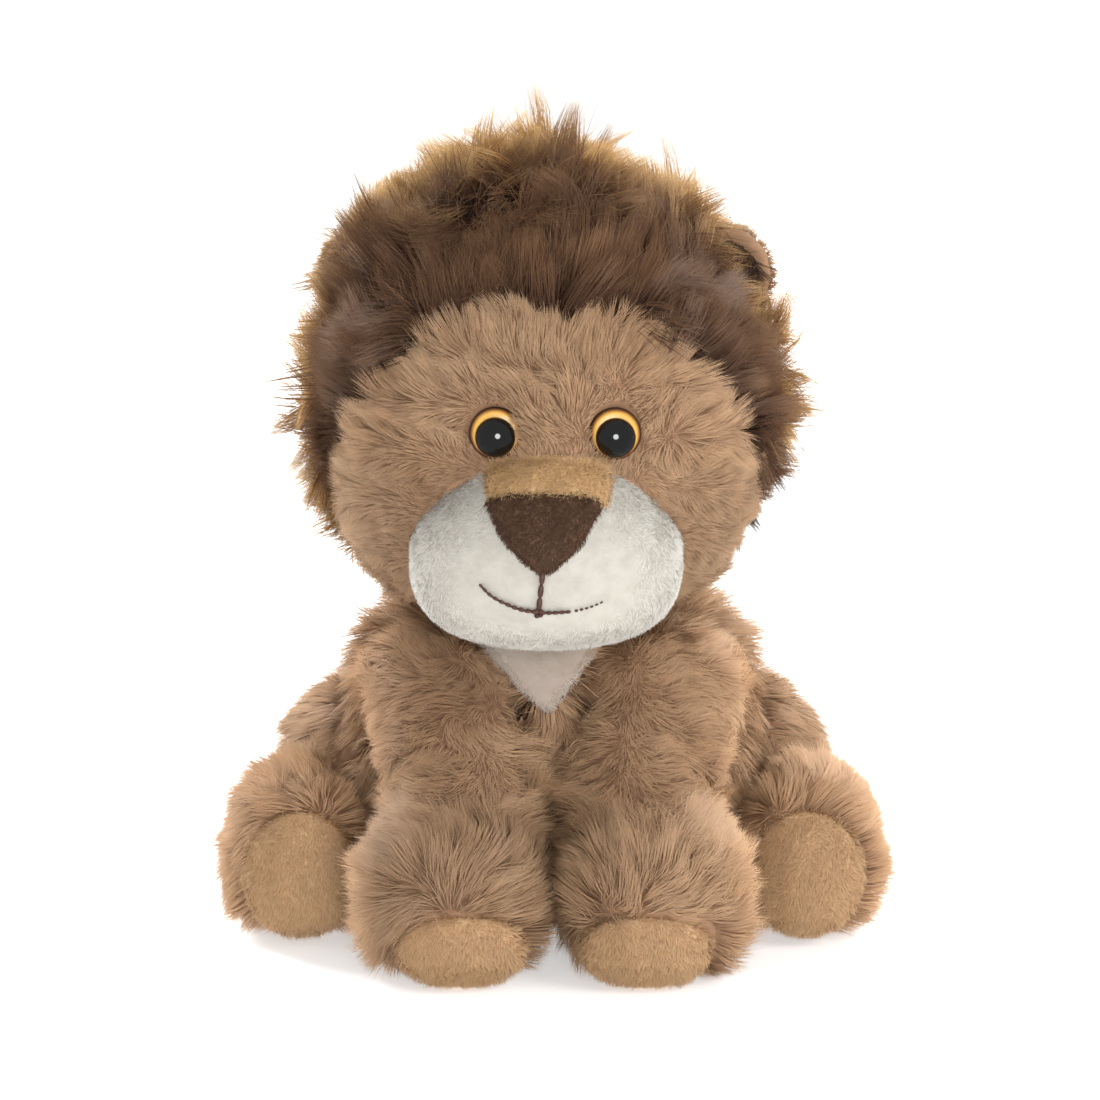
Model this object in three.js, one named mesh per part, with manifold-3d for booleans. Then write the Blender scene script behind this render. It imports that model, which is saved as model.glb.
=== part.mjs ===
// Plush lion, sitting. Millimetres, +Z up. It faces -Y, and left and right are its own: left is +X.
// The origin is the centre of the oval base panel, on the surface that the toy sits on.
// Each stuffed form is drawn to the outside of its plush, with the filling as its inside.
import * as THREE from "three";
import { mergeVertices } from "three/addons/utils/BufferGeometryUtils.js";
import Module from "manifold-3d";

const wasm = await Module();
wasm.setup();

// Fits
const clearance = 0.3;
const overrun = 4;
const groundFlat = 0.5;
const weld = 0.0002;

// How full each form is above and below its middle: 2 is an ellipse, and more is fuller.
const bodyRoundShares = [3.2, 3.5];
const headRoundShares = [2.2, 2.8];
const maneRoundShares = [2.2, 3];
const muzzleRoundShares = [2.1, 2.9];
const pawRoundShares = [2.2, 3.4];
const footRoundShares = [2.3, 3.2];
const bagRoundShares = [2.4, 2.4];
const tuftRoundShares = [2, 2];

// Body
const bodyHalfWidth = 60;
const bodyFront = 42;
const bodyBack = 48;
const bodyHeight = 92;
const bodyMiddle = 36;

// Neck: a stub of the body that turns inside the head
const neckRadius = 22;
const neckRise = 14;
const neckForward = 4;
const headPress = 6;

// Head
const headHalfWidth = 57;
const headFront = 47;
const headBack = 47;
const headUp = 50;
const headDown = 54;
const headForward = 20;
const headAside = -1.8;

// Mane: a thick cap of long plush, cut off along the hairline
const maneSideDepth = 10;
const maneTopDepth = 23;
const maneBackDepth = 19;
const maneForward = 6;
const maneRise = 6;
const maneFront = 53;
const maneDown = 59;
const hairlineSetback = 4;
const hairlineTilt = THREE.MathUtils.degToRad(37);

// Muzzle, with the nose and the bridge let into it as panels
const muzzleHalfWidth = 34.5;
const muzzleFront = 28;
const muzzleBack = 20;
const muzzleUp = 28;
const muzzleDown = 25.5;
const muzzleForward = 31;
const muzzleDrop = 27;
const panelDepth = 3;
const noseHalfWidth = 14.3;
const noseHeight = 18.5;
const noseArch = 1.4;
const noseCorner = 2.6;
const noseLift = 16.5;
const noseRise = 0.8;
const noseSpreadShare = 1.5;
const bridgeHalfWidth = 16;
const bridgeLap = 3;

// Eyes: an amber ring under a black dome, whose ribbed shank is locked by a toothed washer
const eyeSpread = 15.1;
const eyeAside = 1.9;
const eyeRise = 3.6;
const eyeSink = 7;
const eyeYaw = THREE.MathUtils.degToRad(9);
const eyePitch = THREE.MathUtils.degToRad(3);
const irisRadius = 6.7;
const irisEdge = 1.1;
const irisThickness = 2.3;
const irisBevel = 0.5;
const pupilRadius = 4.9;
const pupilRise = 3.6;
const shankRadius = 1.8;
const ribRadius = 2.3;
const ribThickness = 0.9;
const washerThickness = 0.9;
const washerRadius = 6;
const washerSlot = 1.7;
const washerFingers = 6;
const shankRibs = 4;
const shankPoint = 1.6;
const eyeFabric = 2.5;
const socketFlare = 2.5;

// Ears: cups with a dark lining
const earRadius = 17.5;
const earThickness = 9;
const earLip = 2.2;
const earDish = 4;
const earApart = 47;
const earForward = 10;
const earRise = 36;
const earLining = 1.6;
const earYaw = THREE.MathUtils.degToRad(18);
const earPitch = THREE.MathUtils.degToRad(8);

// Front legs: a shoulder turned about its hinge line, a shin and a paw
const shoulderApart = 28.5;
const shoulderForward = 22;
const shoulderDrop = 24;
const shoulderHalfWidth = 25.5;
const shoulderRadius = 19;
const shinTopHalfWidth = 24;
const shinHalfWidth = 21.5;
const shinHalfDepth = 18.5;
const shinInset = 6.5;
const shinForward = 25;
const shinHeight = 38;
const pawApart = 26.3;
const pawForward = 59;
const pawHalfWidth = 26.2;
const pawHalfDepth = 25;
const pawHeight = 46.5;
const pawPadHalfWidth = 16.5;
const pawPadHalfHeight = 11;
const pawPadTilt = THREE.MathUtils.degToRad(38);
const frontLegReach = THREE.MathUtils.degToRad(40);
const shinTopShare = 0.2;
const shinMiddleShare = 0.6;
const shinEndShare = 0.6;

// Hind legs: a thigh turned about its hinge line, and a foot
const hipApart = 50;
const hipBack = 16;
const hipHeight = 36;
const thighHalfWidth = 26;
const thighRadius = 29;
const hipFace = 40;
const footApart = 67.2;
const footForward = 20;
const footHalfWidth = 23.5;
const footFront = 25;
const footBack = 30;
const footHeight = 47;
const solePadHalfWidth = 15;
const solePadHalfHeight = 17;
const solePadTilt = THREE.MathUtils.degToRad(12);
const hindLegReach = THREE.MathUtils.degToRad(15);
const padDepth = 3;
const padReachShare = 0.7;

// Chest bib
const bibHalfWidth = 18;
const bibTip = 66;
const bibDepth = 3;
const bibSpreadShare = 2;

// Tail
const tailRootRadius = 9;
const tailRootInset = 4;
const tailHeight = 18;
const tailRadius = 6;
const tailBack = 38;
const tailAside = 34;
const tailSag = 5;
const tailReach = THREE.MathUtils.degToRad(30);
// How far aside, back and down the tail has come at each station of its route.
const tailRouteShares = [
  [0, 0, 0],
  [0.08, 0.5, 0.5],
  [0.4, 0.9, 0.9],
  [1, 1, 1],
];
const tuftHalfLength = 16;
const tuftRadius = 11;
const tuftLap = 8;

// Seat: the base panel and the pellet bag above it
const seatPanelHalfWidth = 23;
const seatPanelHalfDepth = 19;
const seatPanelThickness = 2.5;
const bagHalfWidth = 26;
const bagHalfDepth = 22;
const bagHalfHeight = 15;

// Facets
const ballSides = 18;
const ballRings = 10;
const turnedSides = 24;
const turnedRings = 6;
const limbSides = 12;
const limbSteps = 3;
const capSteps = 2;
const arcSteps = 5;
const coarseSweep = THREE.MathUtils.degToRad(20);
const fineSweep = THREE.MathUtils.degToRad(3.75);
const shankSides = 12;

const finishes = {
  plush: { colour: "#a27b5b", roughness: 0.95 },
  mane: { colour: "#563c2c", roughness: 0.9 },
  whiteNap: { colour: "#e1ded7", roughness: 0.95 },
  tanNap: { colour: "#b88f5f", roughness: 0.95 },
  brownNap: { colour: "#54342a", roughness: 0.95 },
  amber: { colour: "#d69e32", roughness: 0.25 },
  black: { colour: "#121414", roughness: 0.08 },
  washer: { colour: "#ece9e2", roughness: 0.5 },
  cloth: { colour: "#d8cdb8", roughness: 0.9 },
};

const axisX = new THREE.Vector3(1, 0, 0);
const axisY = new THREE.Vector3(0, 1, 0);
const axisZ = new THREE.Vector3(0, 0, 1);
const sides = { left: 1, right: -1 };

// Solids and meshes

function solidOf(geometry) {
  const bare = new THREE.BufferGeometry();
  bare.setAttribute("position", geometry.getAttribute("position"));
  bare.setIndex(geometry.index);
  const merged = mergeVertices(bare, weld);
  const corners = merged.index.array;
  const kept = [];
  for (let i = 0; i < corners.length; i += 3) {
    const [a, b, c] = corners.slice(i, i + 3);
    if (a !== b && b !== c && c !== a) kept.push(a, b, c);
  }
  return new wasm.Manifold(
    new wasm.Mesh({
      numProp: 3,
      vertProperties: new Float32Array(merged.getAttribute("position").array),
      triVerts: new Uint32Array(kept),
    }),
  );
}

function piece(name, solid, finish, pivot) {
  const made = solid.getMesh();
  const geometry = new THREE.BufferGeometry();
  geometry.setAttribute("position", new THREE.BufferAttribute(made.vertProperties, made.numProp));
  geometry.setIndex(new THREE.BufferAttribute(made.triVerts, 1));
  geometry.translate(-pivot.x, -pivot.y, -pivot.z);
  geometry.computeVertexNormals();
  const { colour, roughness } = finishes[finish];
  const mesh = new THREE.Mesh(
    geometry,
    new THREE.MeshStandardMaterial({ color: colour, roughness, metalness: 0 }),
  );
  mesh.name = name;
  return mesh;
}

// Turns a geometry about a line through a point.
function turn(geometry, pivot, axis, angle) {
  const about = new THREE.Matrix4().makeTranslation(pivot);
  about.multiply(new THREE.Matrix4().makeRotationAxis(axis, angle));
  about.multiply(new THREE.Matrix4().makeTranslation(pivot.clone().negate()));
  return geometry.applyMatrix4(about);
}

// Cuts a solid clear of a form at each step of the form's turn from one angle to another.
function clearOfPath(solid, form, pivot, axis, from, to, sweepStep) {
  const steps = Math.ceil((to - from) / sweepStep);
  let left = solid;
  for (let i = 0; i <= steps; i++) {
    const angle = from + ((to - from) * i) / steps;
    left = left.subtract(solidOf(turn(form(clearance), pivot, axis, angle)));
  }
  return left;
}

// Stuffed forms

// How far across a swollen ball reaches at a share of its height.
const reachShare = (heightShare, round) => (1 - Math.abs(heightShare) ** round) ** (1 / round);

// A swollen ball, with its own reach to each side of its middle.
function ball(at, size, grow = 0) {
  const geometry = new THREE.SphereGeometry(1, ballSides, ballRings).rotateX(Math.PI / 2);
  const place = geometry.getAttribute("position");
  for (let i = 0; i < place.count; i++) {
    const [x, y, z] = [place.getX(i), place.getY(i), place.getZ(i)];
    const round = z < 0 ? size.roundShares[1] : size.roundShares[0];
    const swell = (Math.hypot(x, y) ** round + Math.abs(z) ** round) ** (-1 / round);
    const depth = y < 0 ? size.front : size.back;
    const height = z < 0 ? size.down : size.up;
    place.setXYZ(
      i,
      at.x + (size.halfWidth + grow) * x * swell,
      at.y + (depth + grow) * y * swell,
      at.z + (height + grow) * z * swell,
    );
  }
  return geometry;
}

// The forward face of such a ball, at a place across it and up it.
function frontOf(at, size, x, z) {
  const heightShare = z < at.z ? (z - at.z) / size.down : (z - at.z) / size.up;
  const across = reachShare(heightShare, z < at.z ? size.roundShares[1] : size.roundShares[0]);
  const widthShare = (x - at.x) / size.halfWidth;
  return at.y - size.front * Math.sqrt(Math.max(across ** 2 - widthShare ** 2, 0));
}

// A ball turned about a hinge line, so that it stays in its socket as it turns.
function turnedBall(at, axis, halfLength, radius, grow = 0) {
  const outline = [];
  for (let i = 0; i <= turnedRings; i++) {
    const angle = (Math.PI * i) / turnedRings;
    const along = -(halfLength + grow) * Math.cos(angle);
    outline.push(new THREE.Vector2((radius + grow) * Math.sin(angle), along));
  }
  const geometry = new THREE.LatheGeometry(outline, turnedSides);
  geometry.applyQuaternion(new THREE.Quaternion().setFromUnitVectors(axisY, axis));
  return geometry.translate(at.x, at.y, at.z);
}

// A limb along a smooth line through its stations, with domed ends. Its width lies along the side vector.
function limb(stations, side, grow = 0) {
  const line = new THREE.CatmullRomCurve3(stations.map((station) => station.at));
  const smooth = (values) => new THREE.SplineCurve(values.map((value, i) => new THREE.Vector2(i, value)));
  const widths = smooth(stations.map((station) => station.halfWidth));
  const depths = smooth(stations.map((station) => station.halfDepth));
  const rings = [];
  const addRing = (share, ahead, scale) => {
    const tangent = line.getTangent(share);
    const across = side.clone().addScaledVector(tangent, -side.dot(tangent)).normalize();
    const deep = tangent.clone().cross(across);
    const halfDepth = depths.getPoint(share).y + grow;
    const halfWidth = widths.getPoint(share).y + grow;
    const middle = line.getPoint(share).addScaledVector(tangent, ahead * halfDepth);
    rings.push({ middle, across, deep, halfWidth: halfWidth * scale, halfDepth: halfDepth * scale });
  };
  for (let i = 0; i < capSteps; i++) {
    const angle = (Math.PI / 2) * (1 - i / capSteps);
    addRing(0, -Math.sin(angle), Math.cos(angle));
  }
  for (let i = 0; i <= limbSteps; i++) addRing(i / limbSteps, 0, 1);
  for (let i = 1; i <= capSteps; i++) {
    const angle = (Math.PI / 2) * (i / capSteps);
    addRing(1, Math.sin(angle), Math.cos(angle));
  }
  return loft(rings);
}

// Joins elliptical rings into one closed skin. The first and last rings are points.
function loft(rings) {
  const points = [];
  const faces = [];
  for (const { middle, across, deep, halfWidth, halfDepth } of rings) {
    for (let i = 0; i < limbSides; i++) {
      const angle = (2 * Math.PI * i) / limbSides;
      const point = middle.clone().addScaledVector(across, halfWidth * Math.cos(angle));
      points.push(...point.addScaledVector(deep, halfDepth * Math.sin(angle)));
    }
  }
  for (let ring = 0; ring < rings.length - 1; ring++) {
    for (let i = 0; i < limbSides; i++) {
      const a = ring * limbSides + i;
      const b = ring * limbSides + ((i + 1) % limbSides);
      faces.push(a, b, b + limbSides, a, b + limbSides, a + limbSides);
    }
  }
  const geometry = new THREE.BufferGeometry();
  geometry.setAttribute("position", new THREE.Float32BufferAttribute(points, 3));
  geometry.setIndex(faces);
  return geometry;
}

// Cutters

// A block with its middle at a place.
function block(at, width, depth, height) {
  return new THREE.BoxGeometry(width, depth, height).translate(at.x, at.y, at.z);
}

// An oval plug that runs forward and back through a place, tilted about X.
function ovalPlug(at, halfWidth, halfHeight, halfLength, tilt, grow) {
  const plug = new THREE.CylinderGeometry(1, 1, 2, ballSides);
  plug.scale(halfWidth + grow, halfLength + grow, halfHeight + grow).rotateX(tilt);
  return plug.translate(at.x, at.y, at.z);
}

// Everything under the surface that the toy sits on.
function underGround() {
  const reach = 4 * (bodyHalfWidth + bodyBack);
  return solidOf(block(new THREE.Vector3(0, 0, -bodyHeight / 2), reach, reach, bodyHeight));
}

// Splits a panel off a stuffed form. The panel keeps the form's skin, and the seam runs round and under it.
function insetPanel(form, cutter, depth, rise = 0) {
  const skin = solidOf(form(rise)).subtract(solidOf(form(-depth)));
  const recess = solidOf(cutter(clearance)).subtract(solidOf(form(-depth - clearance)));
  return { panel: skin.intersect(solidOf(cutter(0))), recess };
}

// Places worked out from the driving dimensions

const headBottom = bodyHeight - headPress;
const neckPlace = new THREE.Vector3(0, -neckForward, headBottom);
const headPlace = new THREE.Vector3(headAside, -headForward, headBottom + headDown);
const manePlace = new THREE.Vector3(headAside, -maneForward, headPlace.z + maneRise);
const muzzlePlace = new THREE.Vector3(headAside, headPlace.y - muzzleForward, headPlace.z - muzzleDrop);
const bodyPlace = new THREE.Vector3(0, 0, bodyMiddle);
const tailPlace = new THREE.Vector3(0, bodyBack - tailRootInset, tailHeight);
const shoulderPlace = (side) =>
  new THREE.Vector3(side * shoulderApart, -shoulderForward, bodyHeight - shoulderDrop);
const hipPlace = (side) => new THREE.Vector3(side * hipApart, hipBack, hipHeight);

const bodySize = {
  halfWidth: bodyHalfWidth,
  front: bodyFront,
  back: bodyBack,
  up: bodyHeight - bodyMiddle,
  down: bodyMiddle + groundFlat,
  roundShares: bodyRoundShares,
};
const headSize = {
  halfWidth: headHalfWidth,
  front: headFront,
  back: headBack,
  up: headUp,
  down: headDown,
  roundShares: headRoundShares,
};
const maneSize = {
  halfWidth: headHalfWidth + maneSideDepth,
  front: maneFront,
  back: headBack - headForward + maneForward + maneBackDepth,
  up: headUp - maneRise + maneTopDepth,
  down: maneDown,
  roundShares: maneRoundShares,
};
const muzzleSize = {
  halfWidth: muzzleHalfWidth,
  front: muzzleFront,
  back: muzzleBack,
  up: muzzleUp,
  down: muzzleDown,
  roundShares: muzzleRoundShares,
};

const bodyForm = (grow) => ball(bodyPlace, bodySize, grow);
const headForm = (grow) => ball(headPlace, headSize, grow);
const maneForm = (grow) => ball(manePlace, maneSize, grow);
const muzzleForm = (grow) => ball(muzzlePlace, muzzleSize, grow);
const neckForm = (grow) => turnedBall(neckPlace, axisZ, neckRise, neckRadius, grow);
const shoulderForm = (side, grow) =>
  turnedBall(shoulderPlace(side), axisX, shoulderHalfWidth, shoulderRadius, grow);
const thighForm = (side, grow) => turnedBall(hipPlace(side), axisX, thighHalfWidth, thighRadius, grow);
const tailRootForm = (grow) => turnedBall(tailPlace, axisZ, tailRootRadius, tailRootRadius, grow);

// Body, bib, seat panel and pellet bag

// The part of a thigh outside its flat hip face.
function thigh(side, grow = 0) {
  const width = 2 * (hipApart + thighHalfWidth);
  const middle = side * (hipFace - grow + width / 2);
  const outside = block(hipPlace(side).setX(middle), width, width, width);
  return solidOf(thighForm(side, grow)).intersect(solidOf(outside));
}

function bibCutter(grow) {
  const top = bodyHeight + overrun;
  const outline = new THREE.Shape();
  outline.moveTo(headAside, bibTip - bibSpreadShare * grow);
  outline.lineTo(headAside + bibHalfWidth + grow, top);
  outline.lineTo(headAside - bibHalfWidth - grow, top);
  outline.closePath();
  const wedge = new THREE.ExtrudeGeometry(outline, { depth: bodyFront + overrun, bevelEnabled: false });
  return wedge.rotateX(Math.PI / 2);
}

function seatPanelForm(grow) {
  const height = seatPanelThickness + grow;
  const panel = new THREE.CylinderGeometry(1, 1, height, turnedSides).rotateX(Math.PI / 2);
  panel.scale(seatPanelHalfWidth + grow, seatPanelHalfDepth + grow, 1);
  return panel.translate(0, 0, height / 2);
}

function bagForm(grow) {
  const size = {
    halfWidth: bagHalfWidth,
    front: bagHalfDepth,
    back: bagHalfDepth,
    up: bagHalfHeight,
    down: bagHalfHeight,
    roundShares: bagRoundShares,
  };
  return ball(new THREE.Vector3(0, 0, seatPanelThickness + bagHalfHeight), size, grow);
}

function makeSeat() {
  const reach = 4 * bagHalfWidth;
  const bagFloor = seatPanelThickness + clearance;
  const underBag = block(new THREE.Vector3(0, 0, bagFloor - reach / 2), reach, reach, reach);
  const panel = solidOf(seatPanelForm(0));
  const bag = solidOf(bagForm(0)).subtract(solidOf(underBag));
  const throughFloor = solidOf(seatPanelForm(clearance).translate(0, 0, -groundFlat));
  const pocket = solidOf(bagForm(clearance)).add(solidOf(seatPanelForm(clearance))).add(throughFloor);
  return { panel, bag, pocket };
}

// Everything above the level face that the head turns on.
function overNeck() {
  const reach = 4 * bodyHalfWidth;
  const middle = new THREE.Vector3(0, 0, headBottom - clearance + bodyHeight / 2);
  return solidOf(block(middle, reach, reach, bodyHeight));
}

function makeBody() {
  const seat = makeSeat();
  const bib = insetPanel(bodyForm, bibCutter, bibDepth);
  let body = solidOf(bodyForm(0)).subtract(overNeck()).add(solidOf(neckForm(0))).subtract(bib.recess);
  let bibPanel = bib.panel.subtract(overNeck()).subtract(solidOf(neckForm(clearance)));
  for (const side of Object.values(sides)) {
    const shoulder = solidOf(shoulderForm(side, clearance));
    body = body.subtract(shoulder).subtract(thigh(side, clearance));
    bibPanel = bibPanel.subtract(shoulder);
  }
  body = body.subtract(solidOf(tailRootForm(clearance))).subtract(underGround()).subtract(seat.pocket);
  return [
    ["body", body, "plush"],
    ["chest_bib", bibPanel, "whiteNap"],
    ["seat_panel", seat.panel, "plush"],
    ["pellet_bag", seat.bag, "cloth"],
  ];
}

// Head, mane and muzzle

// The space ahead of the hairline.
function beforeHairline() {
  const reach = 4 * headHalfWidth;
  const cutter = block(new THREE.Vector3(0, -reach / 2, 0), reach, reach, reach);
  cutter.rotateX(hairlineTilt);
  return solidOf(cutter.translate(0, headPlace.y - hairlineSetback, headPlace.z));
}

function noseOutline(grow) {
  const spread = noseSpreadShare * grow;
  const [halfWidth, tip] = [noseHalfWidth + spread, -noseHeight - spread];
  const shape = new THREE.Shape();
  shape.moveTo(-halfWidth + noseCorner, grow);
  shape.quadraticCurveTo(0, grow + noseArch, halfWidth - noseCorner, grow);
  shape.quadraticCurveTo(halfWidth, grow, halfWidth - noseCorner / 2, -noseCorner);
  shape.lineTo(noseCorner / 2, tip + noseCorner);
  shape.quadraticCurveTo(0, tip, -noseCorner / 2, tip + noseCorner);
  shape.lineTo(-halfWidth + noseCorner / 2, -noseCorner);
  shape.quadraticCurveTo(-halfWidth, grow, -halfWidth + noseCorner, grow);
  return shape;
}

function noseCutter(grow) {
  const depth = muzzleFront + overrun;
  const cutter = new THREE.ExtrudeGeometry(noseOutline(grow), {
    depth,
    bevelEnabled: false,
    curveSegments: arcSteps,
  });
  cutter.rotateX(Math.PI / 2);
  return cutter.translate(muzzlePlace.x, muzzlePlace.y, muzzlePlace.z + noseLift);
}

function bridgeCutter(grow) {
  const bottom = muzzlePlace.z + noseLift - bridgeLap - grow;
  const height = muzzleUp + overrun + grow;
  const depth = muzzleFront + muzzleBack + overrun;
  const middle = muzzlePlace.clone();
  middle.y += muzzleBack - depth / 2;
  middle.z = bottom + height / 2;
  return block(middle, 2 * (bridgeHalfWidth + grow), depth, height);
}

function makeMuzzle() {
  const head = solidOf(headForm(clearance));
  const nose = insetPanel(muzzleForm, noseCutter, panelDepth, noseRise);
  const bridge = insetPanel(muzzleForm, bridgeCutter, panelDepth);
  const muzzle = solidOf(muzzleForm(0)).subtract(nose.recess).subtract(bridge.recess).subtract(head);
  return [
    ["muzzle", muzzle, "whiteNap"],
    ["muzzle_bridge", bridge.panel.subtract(solidOf(noseCutter(clearance))).subtract(head), "tanNap"],
    ["nose", nose.panel.subtract(head), "brownNap"],
  ];
}

// Eyes

// Places a geometry that was made about +Y, with +Y out of the face.
function atEye(side, geometry) {
  const x = headPlace.x + eyeAside + side * eyeSpread;
  const z = headPlace.z + eyeRise;
  const y = frontOf(headPlace, headSize, x, z) + eyeSink;
  geometry.rotateZ(Math.PI).rotateX(eyePitch).rotateZ(side * eyeYaw);
  return geometry.translate(x, y, z);
}

function turned(points) {
  const outline = points.map(([radius, y]) => new THREE.Vector2(radius, y));
  return new THREE.LatheGeometry(outline, shankSides);
}

const irisBore = ribRadius + clearance;
const washerGroove = washerThickness + 2 * clearance;
const ribPitch = ribThickness + washerGroove;
const shankLength = eyeFabric + shankRibs * ribPitch;

function irisProfile() {
  const slope = (irisThickness - irisEdge) / 2;
  return [
    [irisBore, 0],
    [irisRadius - irisBevel, 0],
    [irisRadius, irisBevel],
    [irisRadius, irisEdge],
    [(irisRadius + pupilRadius) / 2, irisEdge + slope + irisBevel / 2],
    [pupilRadius, irisThickness],
    [irisBore, irisThickness],
    [irisBore, 0],
  ];
}

function pupilProfile() {
  const seat = irisThickness + clearance;
  const points = [
    [0, -shankLength - shankPoint],
    [shankRadius, -shankLength],
  ];
  for (let rib = shankRibs; rib >= 1; rib--) {
    const ribTop = -eyeFabric - rib * ribPitch + ribThickness;
    if (rib < shankRibs) points.push([shankRadius, ribTop - ribThickness]);
    points.push([ribRadius, ribTop - ribThickness / 2], [ribRadius, ribTop], [shankRadius, ribTop]);
  }
  points.push([shankRadius, -eyeFabric], [ribRadius, -eyeFabric], [ribRadius, seat], [pupilRadius, seat]);
  for (let i = 1; i <= arcSteps; i++) {
    const angle = (Math.PI / 2) * (i / arcSteps);
    points.push([pupilRadius * Math.cos(angle), seat + pupilRise * Math.sin(angle)]);
  }
  return points;
}

function washer() {
  const outline = new THREE.Shape().absarc(0, 0, washerRadius, 0, 2 * Math.PI);
  const hole = new THREE.Path();
  const [fingerEnd, slotEnd] = [shankRadius + clearance, shankRadius + clearance + washerSlot];
  const steps = 4 * washerFingers;
  for (let i = 0; i < steps; i++) {
    const radius = i % 4 === 3 ? slotEnd : fingerEnd;
    const angle = (2 * Math.PI * i) / steps;
    const [x, y] = [radius * Math.cos(angle), radius * Math.sin(angle)];
    if (i === 0) hole.moveTo(x, y);
    else hole.lineTo(x, y);
  }
  hole.closePath();
  outline.holes.push(hole);
  const plate = new THREE.ExtrudeGeometry(outline, {
    depth: washerThickness,
    bevelEnabled: false,
    curveSegments: shankSides,
  });
  plate.rotateX(Math.PI / 2);
  return plate.translate(0, -eyeFabric - clearance, 0);
}

// The recess in the plush, the hole in the fabric and the space in the filling round the washer.
function eyeSocket(side) {
  const floorRadius = irisRadius + clearance;
  const mouth = eyeSink + overrun;
  const recess = turned([
    [0, -clearance],
    [floorRadius, -clearance],
    [floorRadius, irisThickness],
    [floorRadius + socketFlare, mouth],
    [0, mouth],
  ]);
  const end = -shankLength - shankPoint - clearance;
  const bore = turned([
    [0, end],
    [irisBore, end],
    [irisBore, irisThickness],
    [0, irisThickness],
  ]);
  const chamberRadius = washerRadius + clearance;
  const chamberTop = -eyeFabric;
  const chamber = turned([
    [0, chamberTop - washerGroove],
    [chamberRadius, chamberTop - washerGroove],
    [chamberRadius, chamberTop],
    [0, chamberTop],
  ]);
  const [a, b, c] = [recess, bore, chamber].map((geometry) => solidOf(atEye(side, geometry)));
  return a.add(b).add(c);
}

function makeEyes() {
  return Object.entries(sides).flatMap(([word, side]) => [
    ["eye_iris_" + word, solidOf(atEye(side, turned(irisProfile()))), "amber"],
    ["eye_pupil_" + word, solidOf(atEye(side, turned(pupilProfile()))), "black"],
    ["eye_washer_" + word, solidOf(atEye(side, washer())), "washer"],
  ]);
}

// Ears

// Places a geometry that was made about +Y, with +Y out of the cup.
function atEar(side, geometry) {
  geometry.rotateZ(Math.PI).rotateX(earPitch).rotateZ(side * earYaw);
  return geometry.translate(headPlace.x + side * earApart, -earForward, headPlace.z + earRise);
}

// The dish's depth under the rim, at a share of its radius.
const dishAt = (share) => -earDish * Math.cos((Math.PI / 2) * share);

function earProfile(grow) {
  const points = [];
  for (let i = 0; i <= arcSteps; i++) {
    const angle = (Math.PI / 2) * (i / arcSteps);
    points.push([(earRadius + grow) * Math.sin(angle), -(earThickness + grow) * Math.cos(angle)]);
  }
  for (let i = 1; i < arcSteps; i++) {
    const angle = Math.PI * (i / arcSteps);
    const lip = earLip + grow;
    points.push([earRadius - earLip + lip * Math.cos(angle), lip * Math.sin(angle)]);
  }
  return points;
}

function earCup() {
  const points = earProfile(0);
  for (let i = arcSteps; i >= 0; i--) {
    const share = i / arcSteps;
    points.push([(earRadius - 2 * earLip) * share, dishAt(share)]);
  }
  return turned(points);
}

function earLiningCup() {
  const radius = earRadius - 2 * earLip - clearance;
  const points = [];
  for (let i = 0; i <= arcSteps; i++) {
    const share = i / arcSteps;
    points.push([radius * share, dishAt(share) + clearance]);
  }
  for (let i = arcSteps; i >= 0; i--) {
    const share = i / arcSteps;
    points.push([radius * share, dishAt(share) + clearance + earLining]);
  }
  return turned(points);
}

// The ear with the clearance round it and the open space before its cup.
function earRoom(side) {
  const mouth = maneFront;
  const points = earProfile(clearance).slice(0, arcSteps + 1);
  points.push([earRadius + clearance, mouth], [0, mouth]);
  return solidOf(atEar(side, turned(points)));
}

function makeHead() {
  const neck = solidOf(neckForm(clearance));
  const head = solidOf(headForm(clearance));
  let core = solidOf(headForm(0)).subtract(neck);
  let mane = solidOf(maneForm(0)).subtract(head).subtract(neck).subtract(beforeHairline());
  const parts = makeMuzzle();
  for (const [word, side] of Object.entries(sides)) {
    core = core.subtract(eyeSocket(side));
    mane = mane.subtract(earRoom(side));
    parts.push(["ear_" + word, solidOf(atEar(side, earCup())).subtract(head), "plush"]);
    parts.push(["ear_lining_" + word, solidOf(atEar(side, earLiningCup())).subtract(head), "mane"]);
  }
  return [["head", core, "plush"], ["mane", mane, "mane"], ...parts, ...makeEyes()];
}

// Legs

function frontLegForms(side) {
  const shoulder = shoulderPlace(side);
  const pawSize = {
    halfWidth: pawHalfWidth,
    front: pawHalfDepth,
    back: pawHalfDepth,
    up: pawHeight / 2,
    down: pawHeight / 2 + groundFlat,
    roundShares: pawRoundShares,
  };
  const pawPlace = new THREE.Vector3(side * pawApart, -pawForward, pawHeight / 2);
  const knee = new THREE.Vector3(shoulder.x - side * shinInset, shoulder.y - shinForward, shinHeight);
  const top = { halfWidth: shinTopHalfWidth, halfDepth: shinHalfDepth };
  const lower = { halfWidth: shinHalfWidth, halfDepth: shinHalfDepth };
  const stations = [
    { at: shoulder.clone().lerp(knee, shinTopShare), ...top },
    { at: shoulder.clone().lerp(knee, shinMiddleShare), ...top },
    { at: knee, ...lower },
    { at: knee.clone().lerp(pawPlace, shinEndShare), ...lower },
  ];
  return {
    pawPlace,
    shin: (grow) => limb(stations, axisX, grow),
    paw: (grow) => ball(pawPlace, pawSize, grow),
  };
}

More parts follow.
